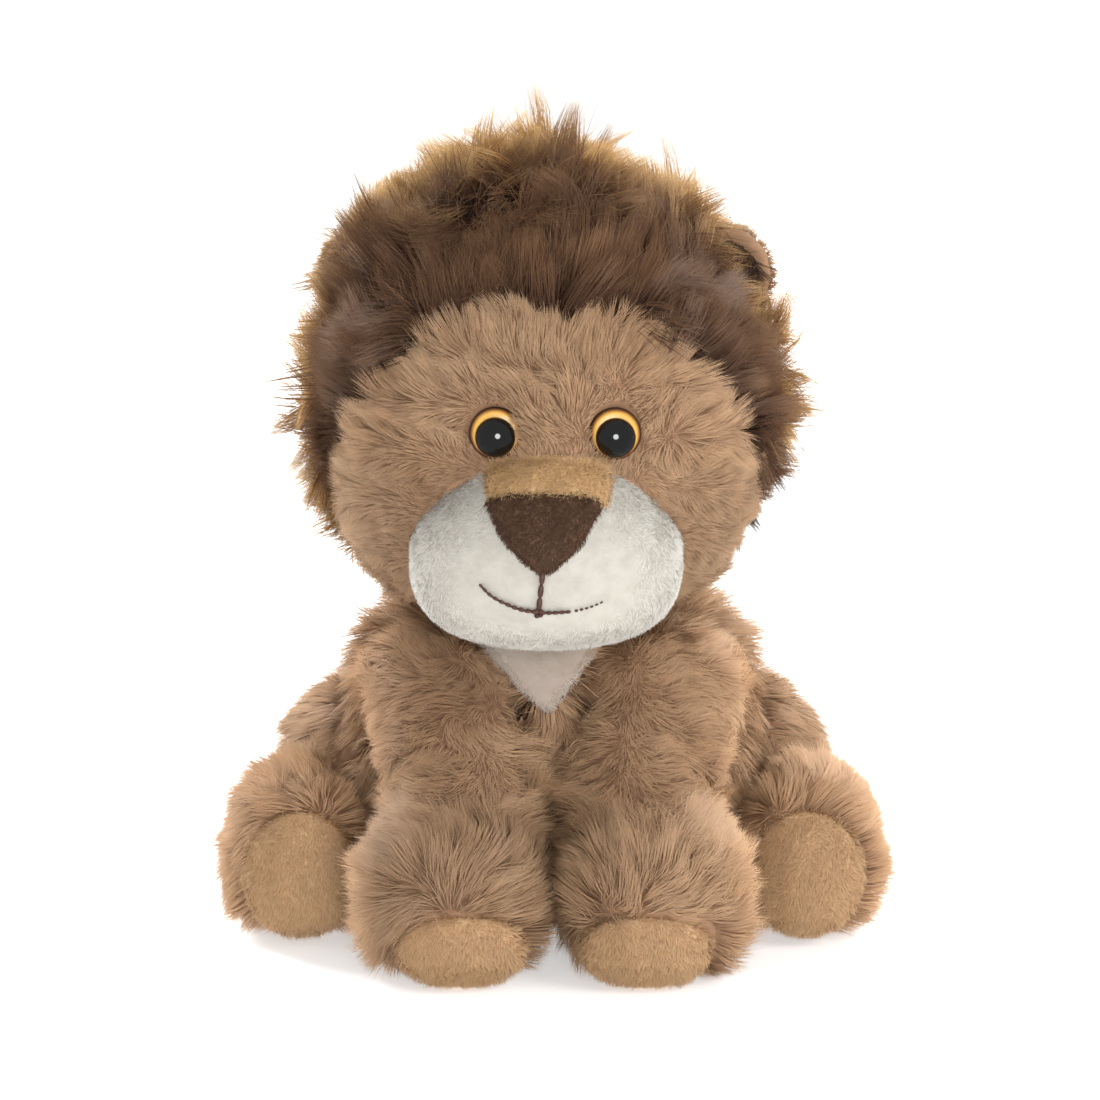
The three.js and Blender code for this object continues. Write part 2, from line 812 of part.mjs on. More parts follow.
function makeFrontLeg(word, side) {
  const shoulder = shoulderPlace(side);
  const { pawPlace, shin, paw } = frontLegForms(side);
  const reach = 2 * (pawForward + pawHalfDepth);
  const pastMiddle = new THREE.Vector3((side * (clearance - reach)) / 2, 0, 0);
  const overMiddle = block(pastMiddle, reach, 2 * reach, 2 * reach);
  const padPlace = pawPlace.clone();
  padPlace.y -= pawHalfDepth * Math.cos(pawPadTilt);
  padPlace.z *= 1 - Math.sin(pawPadTilt);
  const padReach = pawHalfDepth * padReachShare;
  const cutter = (grow) => ovalPlug(padPlace, pawPadHalfWidth, pawPadHalfHeight, padReach, pawPadTilt, grow);
  const pad = insetPanel(paw, cutter, padDepth);
  let leg = solidOf(shin(0)).add(solidOf(paw(0)));
  leg = clearOfPath(leg, bodyForm, shoulder, axisX, 0, frontLegReach, coarseSweep);
  leg = leg.add(solidOf(shoulderForm(side, 0)));
  const cut = (solid) => solid.subtract(underGround()).subtract(solidOf(overMiddle));
  return [
    ["front_leg_" + word, cut(leg.subtract(pad.recess)), "plush"],
    ["front_paw_pad_" + word, cut(pad.panel), "tanNap"],
  ];
}

function makeHindLeg(word, side) {
  const hip = hipPlace(side);
  const footSize = {
    halfWidth: footHalfWidth,
    front: footFront,
    back: footBack,
    up: footHeight / 2,
    down: footHeight / 2 + groundFlat,
    roundShares: footRoundShares,
  };
  const footPlace = new THREE.Vector3(side * footApart, -footForward, footHeight / 2);
  const foot = (grow) => ball(footPlace, footSize, grow);
  const padPlace = footPlace.clone();
  padPlace.y -= footFront;
  padPlace.z *= 1 - Math.sin(solePadTilt);
  const padReach = footFront * padReachShare;
  const cutter = (grow) => ovalPlug(padPlace, solePadHalfWidth, solePadHalfHeight, padReach, solePadTilt, grow);
  const pad = insetPanel(foot, cutter, padDepth);
  const lower = clearOfPath(solidOf(foot(0)), bodyForm, hip, axisX, 0, hindLegReach, fineSweep);
  const leg = lower.add(thigh(side)).subtract(pad.recess);
  return [
    ["hind_leg_" + word, leg.subtract(underGround()), "plush"],
    ["hind_foot_pad_" + word, pad.panel.subtract(underGround()), "tanNap"],
  ];
}

// Tail

function tailForm(grow) {
  const width = { halfWidth: tailRadius, halfDepth: tailRadius };
  const stations = tailRouteShares.map(([asideShare, backShare, sagShare]) => {
    const step = new THREE.Vector3(tailAside * asideShare, tailBack * backShare, -tailSag * sagShare);
    return { at: tailPlace.clone().add(step), ...width };
  });
  return limb(stations, axisZ, grow);
}

function makeTail() {
  const end = new THREE.Vector3(tailPlace.x + tailAside, tailPlace.y + tailBack, tailPlace.z - tailSag);
  const size = {
    halfWidth: tuftHalfLength,
    front: tuftRadius,
    back: tuftRadius,
    up: tuftRadius,
    down: tuftRadius,
    roundShares: tuftRoundShares,
  };
  end.x += tuftHalfLength - tuftLap + tailRadius;
  let tail = solidOf(tailForm(0));
  tail = clearOfPath(tail, bodyForm, tailPlace, axisZ, -tailReach, tailReach, 2 * tailReach);
  tail = tail.add(solidOf(tailRootForm(0)));
  const tuft = solidOf(ball(end, size)).subtract(solidOf(tailForm(clearance)));
  return [
    ["tail", tail, "plush"],
    ["tail_tuft", tuft, "mane"],
  ];
}

// Assembly: each group turns about its own origin

function assemble(parts, pivot) {
  const group = new THREE.Group();
  group.position.copy(pivot);
  for (const [name, solid, finish] of parts) group.add(piece(name, solid, finish, pivot));
  return group;
}

const lion = new THREE.Group();
lion.name = "plush_lion";
lion.add(assemble(makeBody(), new THREE.Vector3()));
lion.add(assemble(makeHead(), neckPlace));
for (const [word, side] of Object.entries(sides)) {
  lion.add(assemble(makeFrontLeg(word, side), shoulderPlace(side)));
  lion.add(assemble(makeHindLeg(word, side), hipPlace(side)));
}
lion.add(assemble(makeTail(), tailPlace));

export default lion;
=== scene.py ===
import math
from dataclasses import dataclass, replace

import bmesh
import bpy
import numpy as np
from mathutils import Matrix, Vector
from mathutils.bvhtree import BVHTree
from mathutils.kdtree import KDTree


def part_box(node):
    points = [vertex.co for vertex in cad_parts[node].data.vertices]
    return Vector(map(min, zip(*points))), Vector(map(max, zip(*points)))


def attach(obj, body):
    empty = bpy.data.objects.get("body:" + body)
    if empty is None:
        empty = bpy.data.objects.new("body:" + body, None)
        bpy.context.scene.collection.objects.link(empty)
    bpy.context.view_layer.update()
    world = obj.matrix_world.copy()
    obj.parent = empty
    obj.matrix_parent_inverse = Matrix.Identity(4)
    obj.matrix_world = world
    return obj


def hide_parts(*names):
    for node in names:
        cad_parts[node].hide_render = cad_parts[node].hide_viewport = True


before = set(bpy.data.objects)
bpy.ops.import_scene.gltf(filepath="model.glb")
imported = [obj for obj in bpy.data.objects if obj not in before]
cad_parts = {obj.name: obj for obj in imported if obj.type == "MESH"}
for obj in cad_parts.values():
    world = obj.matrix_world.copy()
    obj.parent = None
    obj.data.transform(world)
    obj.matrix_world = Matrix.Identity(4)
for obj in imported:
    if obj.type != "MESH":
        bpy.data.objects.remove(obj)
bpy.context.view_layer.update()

MM = 0.001
SIDES = {"left": 1, "right": -1}
UP = np.array([0.0, 0.0, 1.0])
AHEAD = np.array([0.0, -1.0, 0.0])
STRAND_SHARE = 1
ON_GROUND = 0.5
FAR_AHEAD = -200


# Measures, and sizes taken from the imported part

def fade(values, start, end):
    """From 0 at the start to 1 at the end, and level beyond both."""
    return np.clip((values - start) / (end - start), 0, 1)


def hump(values, top, reach):
    """1 at the top, and soft slopes to both sides."""
    return np.exp(-(((values - top) / reach) ** 2))


def lengths(vectors):
    return np.linalg.norm(vectors, axis=1)


def unit(vectors):
    return vectors / np.maximum(lengths(vectors), 1e-9)[:, None]


def corners(node):
    """The lowest and highest corner of a node, in millimetres."""
    low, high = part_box(node)
    return np.array(low) / MM, np.array(high) / MM


def middle(node):
    low, high = corners(node)
    return (low + high) / 2


WELD = 0.001 * MM
CAD_MESHES = {name: node.data for name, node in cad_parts.items()}
HEAD_LOW, HEAD_HIGH = corners("head")
MUZZLE_LOW = corners("muzzle")[0]


# Colours and materials

def linear(code):
    """An sRGB hex colour as the linear colour that Blender works in."""
    parts = [int(code[i:i + 2], 16) / 255 for i in (1, 3, 5)]
    return [p / 12.92 if p <= 0.04045 else ((p + 0.055) / 1.055) ** 2.4 for p in parts] + [1.0]


def add(tree, kind, settings=None, links=None):
    """Adds a node, sets its fields and sockets, and links other nodes' outputs to its sockets."""
    made = tree.nodes.new("ShaderNode" + kind)
    for key, value in (settings or {}).items():
        if isinstance(key, str) and hasattr(made, key):
            setattr(made, key, value)
        else:
            made.inputs[key].default_value = value
    for key, source in (links or {}).items():
        tree.links.new(source, made.inputs[key])
    return made


def new_material(name):
    material = bpy.data.materials.new(name)
    material.use_nodes = True
    material.node_tree.nodes.clear()
    return material, material.node_tree


def show(tree, shader):
    add(tree, "OutputMaterial", links={"Surface": shader})


def surfaced(material, settings, links=None):
    """Gives a material its surface, and hands it back."""
    tree = material.node_tree
    show(tree, add(tree, "BsdfPrincipled", settings, links).outputs[0])
    return material


def attribute(tree, name):
    return add(tree, "Attribute", {"attribute_name": name}).outputs["Fac"]


def stretched(tree, value, low, high):
    """A value stretched to run from 0 at low to 1 at high."""
    return add(tree, "MapRange", {"From Min": low, "From Max": high}, {"Value": value}).outputs["Result"]


def ramp(tree, factor, stops):
    """A colour ramp from (place, hex colour) stops."""
    made = add(tree, "ValToRGB", links={"Fac": factor})
    points = made.color_ramp.elements
    while len(points) < len(stops):
        points.new(0.5)
    for point, (place, code) in zip(points, stops):
        point.position = place
        point.color = linear(code)
    return made.outputs["Color"]


def patches(tree, size, detail=3.0):
    """Soft noise whose patches are about that many millimetres across."""
    place = add(tree, "TexCoord").outputs["Object"]
    settings = {"Scale": 1 / (size * MM), "Detail": detail}
    return add(tree, "TexNoise", settings, {"Vector": place}).outputs["Fac"]


MIX_FROM, MIX_TO, MIXED = 6, 7, 2  # the colour sockets of a Mix node


def fibre(name, stops, other, patch_size=26, through=0.3, sheen=0.3, contrast=0.12, painted_rim=False,
          specular=0.3):
    """Dyed polyester pile. Each strand is dark at its root, where little light comes, and pale at its tip.
    Two dye lots show in soft patches, unless the tips carry painted rim light: then the golden ramp shows
    by how far a strand faces aside, as painted light standing in for the backlit rim, with some lighter
    strands at random."""
    material, tree = new_material(name)
    along = attribute(tree, "along")
    if painted_rim:
        # The share of the golden ramp is the painted rim light that each strand carries.
        share = attribute(tree, "painted_rim_light")
    else:
        share = stretched(tree, patches(tree, patch_size), 0.35, 0.65)
    colour = add(tree, "Mix", {"data_type": "RGBA"}, {
        "Factor": share, MIX_FROM: ramp(tree, along, stops), MIX_TO: ramp(tree, along, other),
    }).outputs[MIXED]
    limits = {"To Min": 1 - contrast, "To Max": 1 + contrast, "clamp": False}
    value = add(tree, "MapRange", limits, {"Value": attribute(tree, "tone")}).outputs["Result"]
    colour = add(tree, "HueSaturation", links={"Value": value, "Color": colour}).outputs["Color"]
    shader = add(tree, "BsdfPrincipled", {
        "Roughness": 0.7, "IOR": 1.5, "Specular IOR Level": specular,
        "Sheen Weight": sheen, "Sheen Roughness": 0.4, "Sheen Tint": linear(stops[-1][1]),
    }, {"Base Color": colour})
    lit = add(tree, "BsdfTranslucent", links={"Color": colour})
    mixed = add(tree, "MixShader", {"Fac": through}, {1: shader.outputs[0], 2: lit.outputs[0]})
    show(tree, mixed.outputs[0])
    return material


def two_tone(name, colour, other, size=3, roughness=0.95):
    """Cloth or thread in two tones, such as the back of the pile between the strands."""
    material, tree = new_material(name)
    tint = ramp(tree, patches(tree, size), [(0.3, colour), (0.7, other)])
    return surfaced(material, {"Roughness": roughness, "IOR": 1.5}, {"Base Color": tint})


def nap(name, colour, other, sheen=0.6):
    """Minky: a velvet of fine, soft fibres about 1.5 mm long, mottled where the nap has been brushed."""
    material, tree = new_material(name)
    mottle = stretched(tree, patches(tree, 4, 5.0), 0.3, 0.7)
    tint = add(tree, "Mix", {"data_type": "RGBA", MIX_FROM: linear(colour), MIX_TO: linear(other)},
               {"Factor": mottle}).outputs[MIXED]
    bump = add(tree, "Bump", {"Strength": 0.6, "Distance": 0.5 * MM}, {"Height": patches(tree, 1.6, 6.0)})
    return surfaced(material, {
        "Roughness": 0.9, "IOR": 1.5, "Specular IOR Level": 0.2,
        "Sheen Weight": sheen, "Sheen Roughness": 0.5, "Sheen Tint": linear(other),
    }, {"Base Color": tint, "Normal": bump.outputs[0]})


def plastic(name, colour, roughness, specular=0.5):
    """Injection-moulded plastic, with the faint unevenness of a moulded surface."""
    material, tree = new_material(name)
    bump = add(tree, "Bump", {"Strength": 0.05, "Distance": 0.05 * MM}, {"Height": patches(tree, 1.5)})
    tint = ramp(tree, patches(tree, 2), [(0.0, colour), (1.0, colour)])
    return surfaced(material, {
        "Roughness": roughness, "IOR": 1.49, "Specular IOR Level": specular,
    }, {"Base Color": tint, "Normal": bump.outputs[0]})


def amber_ring():
    """Painted acrylic, gold by the pupil and brown towards the rim. The bright gold by the pupil is partly
    painted light, for light focused through the dome, and the near-black outer edge is painted shade at the
    sunken rim.
    """
    material, tree = new_material("amber_acrylic")
    place = add(tree, "UVMap", {"uv_map": "across"}).outputs[0]
    across = add(tree, "SeparateXYZ", links={"Vector": place}).outputs["X"]
    # Painted light in the bright inner gold, and painted shade in the near-black outer stop.
    tint = ramp(tree, across, [(0.0, "#d8ac58"), (0.35, "#bb8736"), (0.6, "#71492a"), (0.85, "#2a1b12")])
    return surfaced(material, {
        "Roughness": 0.3, "IOR": 1.49, "Specular IOR Level": 0.35,
        "Coat Weight": 0.15, "Coat Roughness": 0.08,
    }, {"Base Color": tint})


# A cloth is the name of a slot, and its material
PLUSH = "plush", fibre(
    "dyed_polyester_plush",
    [(0.0, "#8f6f56"), (0.35, "#af8b6b"), (1.0, "#ceae8b")],
    [(0.0, "#886850"), (0.35, "#a48162"), (1.0, "#c4a07c")],
)
# The mane's second ramp turns golden at the tips: painted rim light, laid on strands that face aside.
MANE = "mane", fibre(
    "long_polyester_pile",
    [(0.0, "#322119"), (0.5, "#5d4334"), (1.0, "#84634a")],
    [(0.0, "#38261b"), (0.35, "#6a4a31"), (0.6, "#a67b49"), (1.0, "#e8c486")],
    through=0.45, sheen=0.06, painted_rim=True, specular=0.12,
)
# The same mane pile without the painted rim light, for the mane's front and the ear linings.
MANE_DARK = "mane", fibre(
    "long_polyester_pile_dark",
    [(0.0, "#312017"), (0.5, "#583f2f"), (1.0, "#7b5b42")],
    [(0.0, "#2c1d14"), (0.5, "#4d3729"), (1.0, "#6d503a")],
    through=0.2, sheen=0.06, specular=0.12,
)
EAR_PLUSH = "plush", fibre(
    "dyed_polyester_plush_ear",
    [(0.0, "#6a4c34"), (0.5, "#b08c69"), (1.0, "#dcbc90")],
    [(0.0, "#6a4a32"), (0.5, "#a27d5c"), (1.0, "#cfae80")],
)
PLUSH_BACK = "plush", two_tone("plush_backing", "#8a6a51", "#977558")
MANE_BACK = "mane", two_tone("mane_backing", "#22160f", "#2e1f15")
WHITE_NAP = "white_nap", nap("white_minky", "#a29d94", "#aeaaa1", 0.12)
# The bib is the muzzle's white minky, painted darker and warmer as painted shade for the shadow under the
# muzzle.
BIB_NAP_PAINTED_SHADE = "white_nap", nap("white_minky_bib_painted_shade", "#988a7f", "#a2968b", 0.15)
TAN_NAP = "tan_nap", nap("tan_minky", "#ba9772", "#c9ac87")
BRIDGE_NAP = "tan_nap", nap("tan_minky_bridge", "#b49268", "#c7a67c")
BROWN_NAP = "brown_nap", nap("brown_minky", "#4d372a", "#5f4736", 0.3)
PUPIL = "black", plastic("polished_black_acrylic", "#08090a", 0.07, specular=0.55)
WASHER = plastic("natural_nylon", "#ece9e2", 0.45)
AMBER = "amber", amber_ring()
THREAD = "brown_nap", two_tone("rayon_thread", "#3c241b", "#533528", size=0.6, roughness=0.5)
SEAT_CLOTH = "plush", two_tone("woven_base_cloth", "#8a6a4c", "#9a7857")
BAG_CLOTH = "cloth", two_tone("pellet_bag_cloth", "#cfc4ae", "#ddd2bd")


# Pieces

def given(made, **settings):
    for key, value in settings.items():
        setattr(made, key, value)
    return made


def placed(name, data):
    made = bpy.data.objects.new(name, data)
    bpy.context.collection.objects.link(made)
    return made


def new_piece(name, mesh, body, cloth):
    piece = placed(name, mesh)
    slot, material = cloth
    mesh.materials.clear()
    mesh.materials.append(material)
    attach(piece, body)
    return piece


def stand_in(name, mesh, body, cloth, node):
    """A piece that takes a node's place, and hides the node."""
    piece = new_piece(name, mesh, body, cloth)
    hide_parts(node)
    return piece


def smooth_faces(mesh):
    mesh.polygons.foreach_set("use_smooth", [True] * len(mesh.polygons))


def mesh_of(bm, name):
    """A bmesh as a mesh with smooth faces."""
    mesh = bpy.data.meshes.new(name)
    bm.to_mesh(mesh)
    bm.free()
    smooth_faces(mesh)
    return mesh


def smoothed(mesh, draw_in, voxel, rounds):
    """A form rounded over, and drawn in by the depth of its pile."""
    piece = placed("loose", mesh)
    for push in (-draw_in, 0):
        given(piece.modifiers.new("grid", "REMESH"), mode="VOXEL", voxel_size=voxel * MM)
        given(piece.modifiers.new("smooth", "SMOOTH"), iterations=rounds)
        if push:
            given(piece.modifiers.new("draw_in", "DISPLACE"), strength=push * MM, mid_level=0)
    made = bpy.data.meshes.new_from_object(piece.evaluated_get(bpy.context.evaluated_depsgraph_get()))
    bpy.data.objects.remove(piece)
    smooth_faces(made)
    return made


def rounded(node, draw_in, voxel=2.0, rounds=16):
    """A node's form, rounded over and drawn in."""
    bm = bmesh.new()
    bm.from_mesh(CAD_MESHES[node])
    bmesh.ops.remove_doubles(bm, verts=bm.verts, dist=WELD)
    return smoothed(mesh_of(bm, node), draw_in, voxel, rounds)


@dataclass
class Ball:
    """A swollen ball, with its own reach to each side of its middle."""
    at: tuple
    half_width: float
    front: float
    back: float
    up: float
    down: float
    round_above: float
    round_below: float

    def place(self, ways, grow):
        """Where unit vectors land on the ball."""
        x, y, z = ways.T
        power = np.where(z < 0, self.round_below, self.round_above)
        swell = (np.hypot(x, y) ** power + np.abs(z) ** power) ** (-1 / power)
        reach = np.stack([
            np.full(len(ways), self.half_width),
            np.where(y < 0, self.front, self.back),
            np.where(z < 0, self.down, self.up),
        ], axis=1) + grow
        return np.array(self.at) + ways * swell[:, None] * reach


def ball_mesh(ball, shape=None, grow=0.0):
    """A ball of many faces; shape moves its places further."""
    bm = bmesh.new()
    bmesh.ops.create_uvsphere(bm, u_segments=72, v_segments=48, radius=1)
    places = ball.place(unit(np.array([v.co for v in bm.verts])), grow)
    if shape:
        places = shape(places)
    for vertex, place in zip(bm.verts, places):
        vertex.co = place * MM
    bmesh.ops.recalc_face_normals(bm, faces=bm.faces)
    return mesh_of(bm, "ball")


# Pile: strands of fur, each a thin ribbon that leans over and thins to a point

@dataclass
class Pile:
    """How one kind of plush lies. Lengths are in millimetres, and lean and stand in degrees."""
    length: float
    width: float
    per_mm2: float
    lean: float = 55.0
    stand: float = 22.0
    tuft: float = 2.6
    gather: float = 0.5
    wave: float = 0.45
    wave_size: float = 16.0
    fray: float = 0.16
    relief: float = 0.24
    ragged: float = 0.1
    loose: float = 0.05
    tousle: float = 0.12
    steps: tuple = (0.0, 0.5, 1.0)
    widths: tuple = (0.9, 1.0, 0.0)


SHORT = Pile(8.0, 0.18, 5.2, gather=0.34, relief=0.15)
LEG = Pile(8.0, 0.19, 4.4, wave=0.55, tuft=3.0, gather=0.38, wave_size=12, fray=0.2, tousle=0.14,
           relief=0.15)
FLANK = Pile(9.5, 0.23, 3.2, tousle=0.16, relief=0.18)
EAR = Pile(3.2, 0.22, 4.5, tuft=2.0)
LONG = Pile(18.0, 0.22, 3.0, lean=50, stand=20, tuft=5.0, gather=0.6, wave=0.7, wave_size=18, fray=0.3,
            ragged=0.2, loose=0.16, tousle=0.35, steps=(0.0, 0.36, 0.7, 1.0), widths=(0.9, 1.0, 0.6, 0.0))
WISP = replace(LONG, length=21.0, per_mm2=1.0, lean=54, stand=26, tuft=6.5, gather=0.9, fray=0.2,
               ragged=0.16, loose=0.08, tousle=0.45)


def read(items, field, kind=float):
    """What each item of a mesh holds three of, one item to a row."""
    values = np.empty(len(items) * 3, dtype=kind)
    items.foreach_get(field, values)
    return values.reshape(-1, 3)


def scatter(mesh, per_mm2, rng):
    """Places spread evenly over a mesh, and the smooth normal at each, in millimetres."""
    mesh.calc_loop_triangles()
    places = read(mesh.vertices, "co") / MM
    normals = read(mesh.vertices, "normal")
    a, b, c = read(mesh.loop_triangles, "vertices", np.int64).T
    area = lengths(np.cross(places[b] - places[a], places[c] - places[a])) / 2
    total = np.cumsum(area)
    count = int(total[-1] * per_mm2 * STRAND_SHARE)
    spots = (np.arange(count) + rng.random(count)) / count * total[-1]
    chosen = np.minimum(np.searchsorted(total, spots), len(total) - 1)
    u, v = rng.random(count), rng.random(count)
    flip = u + v > 1
    u[flip], v[flip] = 1 - u[flip], 1 - v[flip]
    weights = np.stack([1 - u - v, u, v], axis=1)[:, :, None]
    picked = np.stack([a[chosen], b[chosen], c[chosen]], axis=1)
    roots = (places[picked] * weights).sum(axis=1)
    return roots, unit((normals[picked] * weights).sum(axis=1))


def unblocked(tree, places, ways, reaches):
    """True where a ray meets nothing of the tree within its reach."""
    return np.array([
        tree.ray_cast(Vector(place), Vector(way), reach)[0] is None
        for place, way, reach in zip(places, ways, reaches)
    ])


def in_open(roots, normals, neighbours, room):
    """True where no neighbour lies within that room in front of a root: a number, or one for each place."""
    tree = tree_of(*(CAD_MESHES[node] for node in neighbours))
    return unblocked(tree, roots, normals, room(roots) if callable(room) else np.full(len(roots), room))


def drift(places, size, rng, waves=6):
    """A soft random vector at each place, which changes over about that many millimetres."""
    total = np.zeros_like(places)
    for _ in range(waves):
        way = rng.normal(size=3)
        way *= 2 * math.pi / (size * rng.uniform(0.7, 1.6) * np.linalg.norm(way))
        total += rng.normal(size=3) * np.sin(places @ way + rng.uniform(0, 2 * math.pi))[:, None]
    return total / math.sqrt(waves)


def on_surface(vectors, normals):
    """Vectors laid flat on a surface."""
    return unit(vectors - normals * (vectors * normals).sum(axis=1)[:, None])


def tufts_of(roots, size, rng):
    """The number of each root's tuft, and the root at the heart of each tuft."""
    count = len(roots)
    hearts = rng.choice(count, max(int(count / max(size, 1)), 1), replace=False)
    tree = KDTree(len(hearts))
    for number, heart in enumerate(hearts):
        tree.insert(roots[heart], number)
    tree.balance()
    return np.array([tree.find(root)[1] for root in roots]), hearts


ROOT_RUN, TIP_RUN = 0.45, 0.62  # shares of a strand's length before and after its bend
BEND_GATHER, BEND_SPREAD, TIP_SPREAD = 0.35, 0.75, 0.3  # how a tuft draws its strands to its heart
LENGTHS, LEANS, STANDS = (0.75, 1.1), (0.8, 1.2), (0.5, 1.5)  # from the least to the most of the usual
PAINTED_RIM_EDGE, PAINTED_RIM_WIDTH = 0.64, 0.56  # the mane's tips are painted golden as painted rim light where it faces neither forwards nor back


def strands(roots, normals, comb, pile, rng, share, rise):
    """The corners of each ribbon in pairs with one at its tip, the way that each faces, and its marks."""
    count = len(roots)
    swirl = drift(roots, pile.wave_size, rng) * pile.wave
    loose = rng.random(count) < pile.loose
    fray = pile.fray * np.where(loose, 2.5, 1)[:, None]
    tuft, hearts = tufts_of(roots, pile.tuft ** 2 * pile.per_mm2 * STRAND_SHARE, rng)
    swirl += pile.tousle * rng.normal(size=(len(hearts), 3))[tuft]
    way = on_surface(comb + swirl + rng.normal(size=(count, 3)) * fray, normals)
    spread = np.clip(rng.normal(size=(len(hearts), 3)), -2, 2)[tuft]
    span = pile.length * share * rng.uniform(*LENGTHS, count) * (1 + pile.ragged * spread[:, 0])
    lean = np.radians(pile.lean * rise * rng.uniform(*LEANS, count))[:, None]
    stand = pile.stand * rise * rng.uniform(*STANDS, count) * (1 + 0.25 * spread[:, 1])
    stand = np.radians(stand)[:, None]
    bend = roots + ROOT_RUN * span[:, None] * (normals * np.sin(lean) + way * np.cos(lean))
    tip = bend + TIP_RUN * span[:, None] * (normals * np.sin(stand) + way * np.cos(stand))
    heart = hearts[tuft]
    off = roots - roots[heart]
    pull = (pile.gather * np.minimum(share, 1) * ~loose)[:, None]
    tip += pull * (tip[heart] + TIP_SPREAD * off - tip)
    bend += BEND_GATHER * pull * (bend[heart] + BEND_SPREAD * off - bend)
    for place in (bend, tip):
        place[:, 2] = np.maximum(place[:, 2], ON_GROUND * rng.uniform(1, 4, count))
    forward = unit(tip - roots)
    flat = unit(np.cross(forward, normals))
    lift = np.cross(flat, forward)
    roll = np.clip(rng.normal(size=count) * 0.5, -1, 1)[:, None]
    across = flat * np.cos(roll) + lift * np.sin(roll)
    rings = []
    for step, thin in zip(pile.steps, pile.widths):
        place = (1 - step) ** 2 * roots + 2 * step * (1 - step) * bend + step ** 2 * tip
        half = across * pile.width * thin / 2
        rings += [place] if thin == 0 else [place - half, place + half]
    facing = normals + pile.relief * (drift(roots, 2.5 * pile.tuft, rng) + 0.5 * spread) + 0.15 * across
    tone = np.clip(0.5 + 0.2 * rng.normal(size=count) + 0.2 * spread[:, 2], 0, 1)
    speckle = 0.14 * rng.normal(size=count) + 0.16 * spread[:, 1]
    # Painted rim light: tips are painted golden where a strand faces aside, as if backlit, with some random
    # lighter strands.
    painted_rim_light = np.clip((PAINTED_RIM_EDGE - np.abs(normals[:, 1])) / PAINTED_RIM_WIDTH + speckle, 0.04, 0.95)
    return np.stack(rings, axis=1), unit(facing), {"tone": tone, "painted_rim_light": painted_rim_light}


def fur(name, mesh, body, cloth, pile, comb, seed, neighbours, share=None, room=2.5, keep=None, rise=None,
        painted_shade=None):
    """A piece of pile on a skin. At each place comb gives the way that it's brushed, share how long it is,
    rise how much of its usual angle it stands at. The last function, if given, darkens its tone as painted
    shade, and where it gives less than zero it lightens the tone as painted light."""
    rng = np.random.default_rng(seed)
    roots, normals = scatter(mesh, pile.per_mm2, rng)
    open_air = in_open(roots, normals, neighbours, room)
    if keep:
        open_air &= keep(roots, normals)
    roots, normals = roots[open_air], normals[open_air]
    usual = np.ones(len(roots))
    shares = share(roots, normals) if share else usual
    rises = rise(roots, normals) if rise else usual
    ribbons, facing, marks = strands(roots, normals, comb(roots, normals), pile, rng, shares, rises)
    if painted_shade:
        # Painted shade: the tone is darkened by place, and lightened as painted light where the value is
        # below zero.
        marks["tone"] -= painted_shade(roots)
    return new_piece(name, ribbon_mesh(name, ribbons, facing, marks, pile.steps), body, cloth)


def ribbon_mesh(name, ribbons, facing, marks, steps):
    """Ribbons of triangles, each mapped on its own strip. They're shaded the way that the tuft faces."""
    count, corner_count = ribbons.shape[:2]
    pattern = []
    for low in range(0, corner_count - 3, 2):
        pattern += [[low, low + 1, low + 3], [low, low + 3, low + 2]]
    pattern.append([corner_count - 3, corner_count - 2, corner_count - 1])
    faces = (np.arange(count)[:, None, None] * corner_count + np.array(pattern)).reshape(-1)
    mesh = bpy.data.meshes.new(name)
    mesh.vertices.add(count * corner_count)
    mesh.vertices.foreach_set("co", (ribbons * MM).reshape(-1))
    mesh.loops.add(len(faces))
    mesh.loops.foreach_set("vertex_index", faces)
    mesh.polygons.add(len(faces) // 3)
    mesh.polygons.foreach_set("loop_start", np.arange(0, len(faces), 3))
    mesh.update(calc_edges=True)
    along = np.array([step for step in steps[:-1] for _ in range(2)] + [steps[-1]])
    marks = {mark: np.repeat(values, corner_count) for mark, values in marks.items()}
    for mark, values in {"along": np.tile(along, count), **marks}.items():
        mesh.attributes.new(mark, "FLOAT", "POINT").data.foreach_set("value", values)
    columns = math.ceil(math.sqrt(count))
    column, row = np.arange(count) % columns, np.arange(count) // columns
    side = np.array([0.1, 0.9] * (len(steps) - 1) + [0.5])
    u = (column[:, None] + side) / columns
    v = (row[:, None] + 0.05 + 0.9 * along) / columns
    places = np.stack([u.reshape(-1), v.reshape(-1)], axis=1)[faces]
    mesh.uv_layers.new(name="OFBake").data.foreach_set("uv", places.reshape(-1))
    smooth_faces(mesh)
    mesh.normals_split_custom_set_from_vertices(np.repeat(facing, corner_count, axis=0))
    return mesh


def blended(comb, other, share):
    """One way of brushing, and by a share the other."""
    share = share[:, None]
    return comb * (1 - share) + other * share


def others(*own):
    """The nodes whose names don't start with any of these."""
    return [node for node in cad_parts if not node.startswith(own)]


# The swollen balls that the head, the muzzle, the mane and the chest are made from

PILE_DEPTH = 4.0
HEAD = Ball(
    at=((HEAD_LOW[0] + HEAD_HIGH[0]) / 2, -20, HEAD_HIGH[2] - 50),
    half_width=57, front=47, back=47, up=50, down=54, round_above=2.2, round_below=3.0,
)
MUZZLE = Ball(
    at=(HEAD.at[0], MUZZLE_LOW[1] + 28, MUZZLE_LOW[2] + 25.5),
    half_width=35.3, front=28, back=20, up=28, down=27, round_above=1.85, round_below=2.9,
)
MANE_BALL = Ball(
    at=(HEAD.at[0], -6, HEAD.at[2] + 6),
    half_width=67, front=53, back=52, up=67, down=59, round_above=2.2, round_below=3.7,
)
BODY = Ball(
    at=(0, 0, 36), half_width=60, front=42, back=48, up=56, down=36, round_above=3.2, round_below=3.5,
)


# Head: dimpled where the eyes are pulled in, with short pile before the hairline

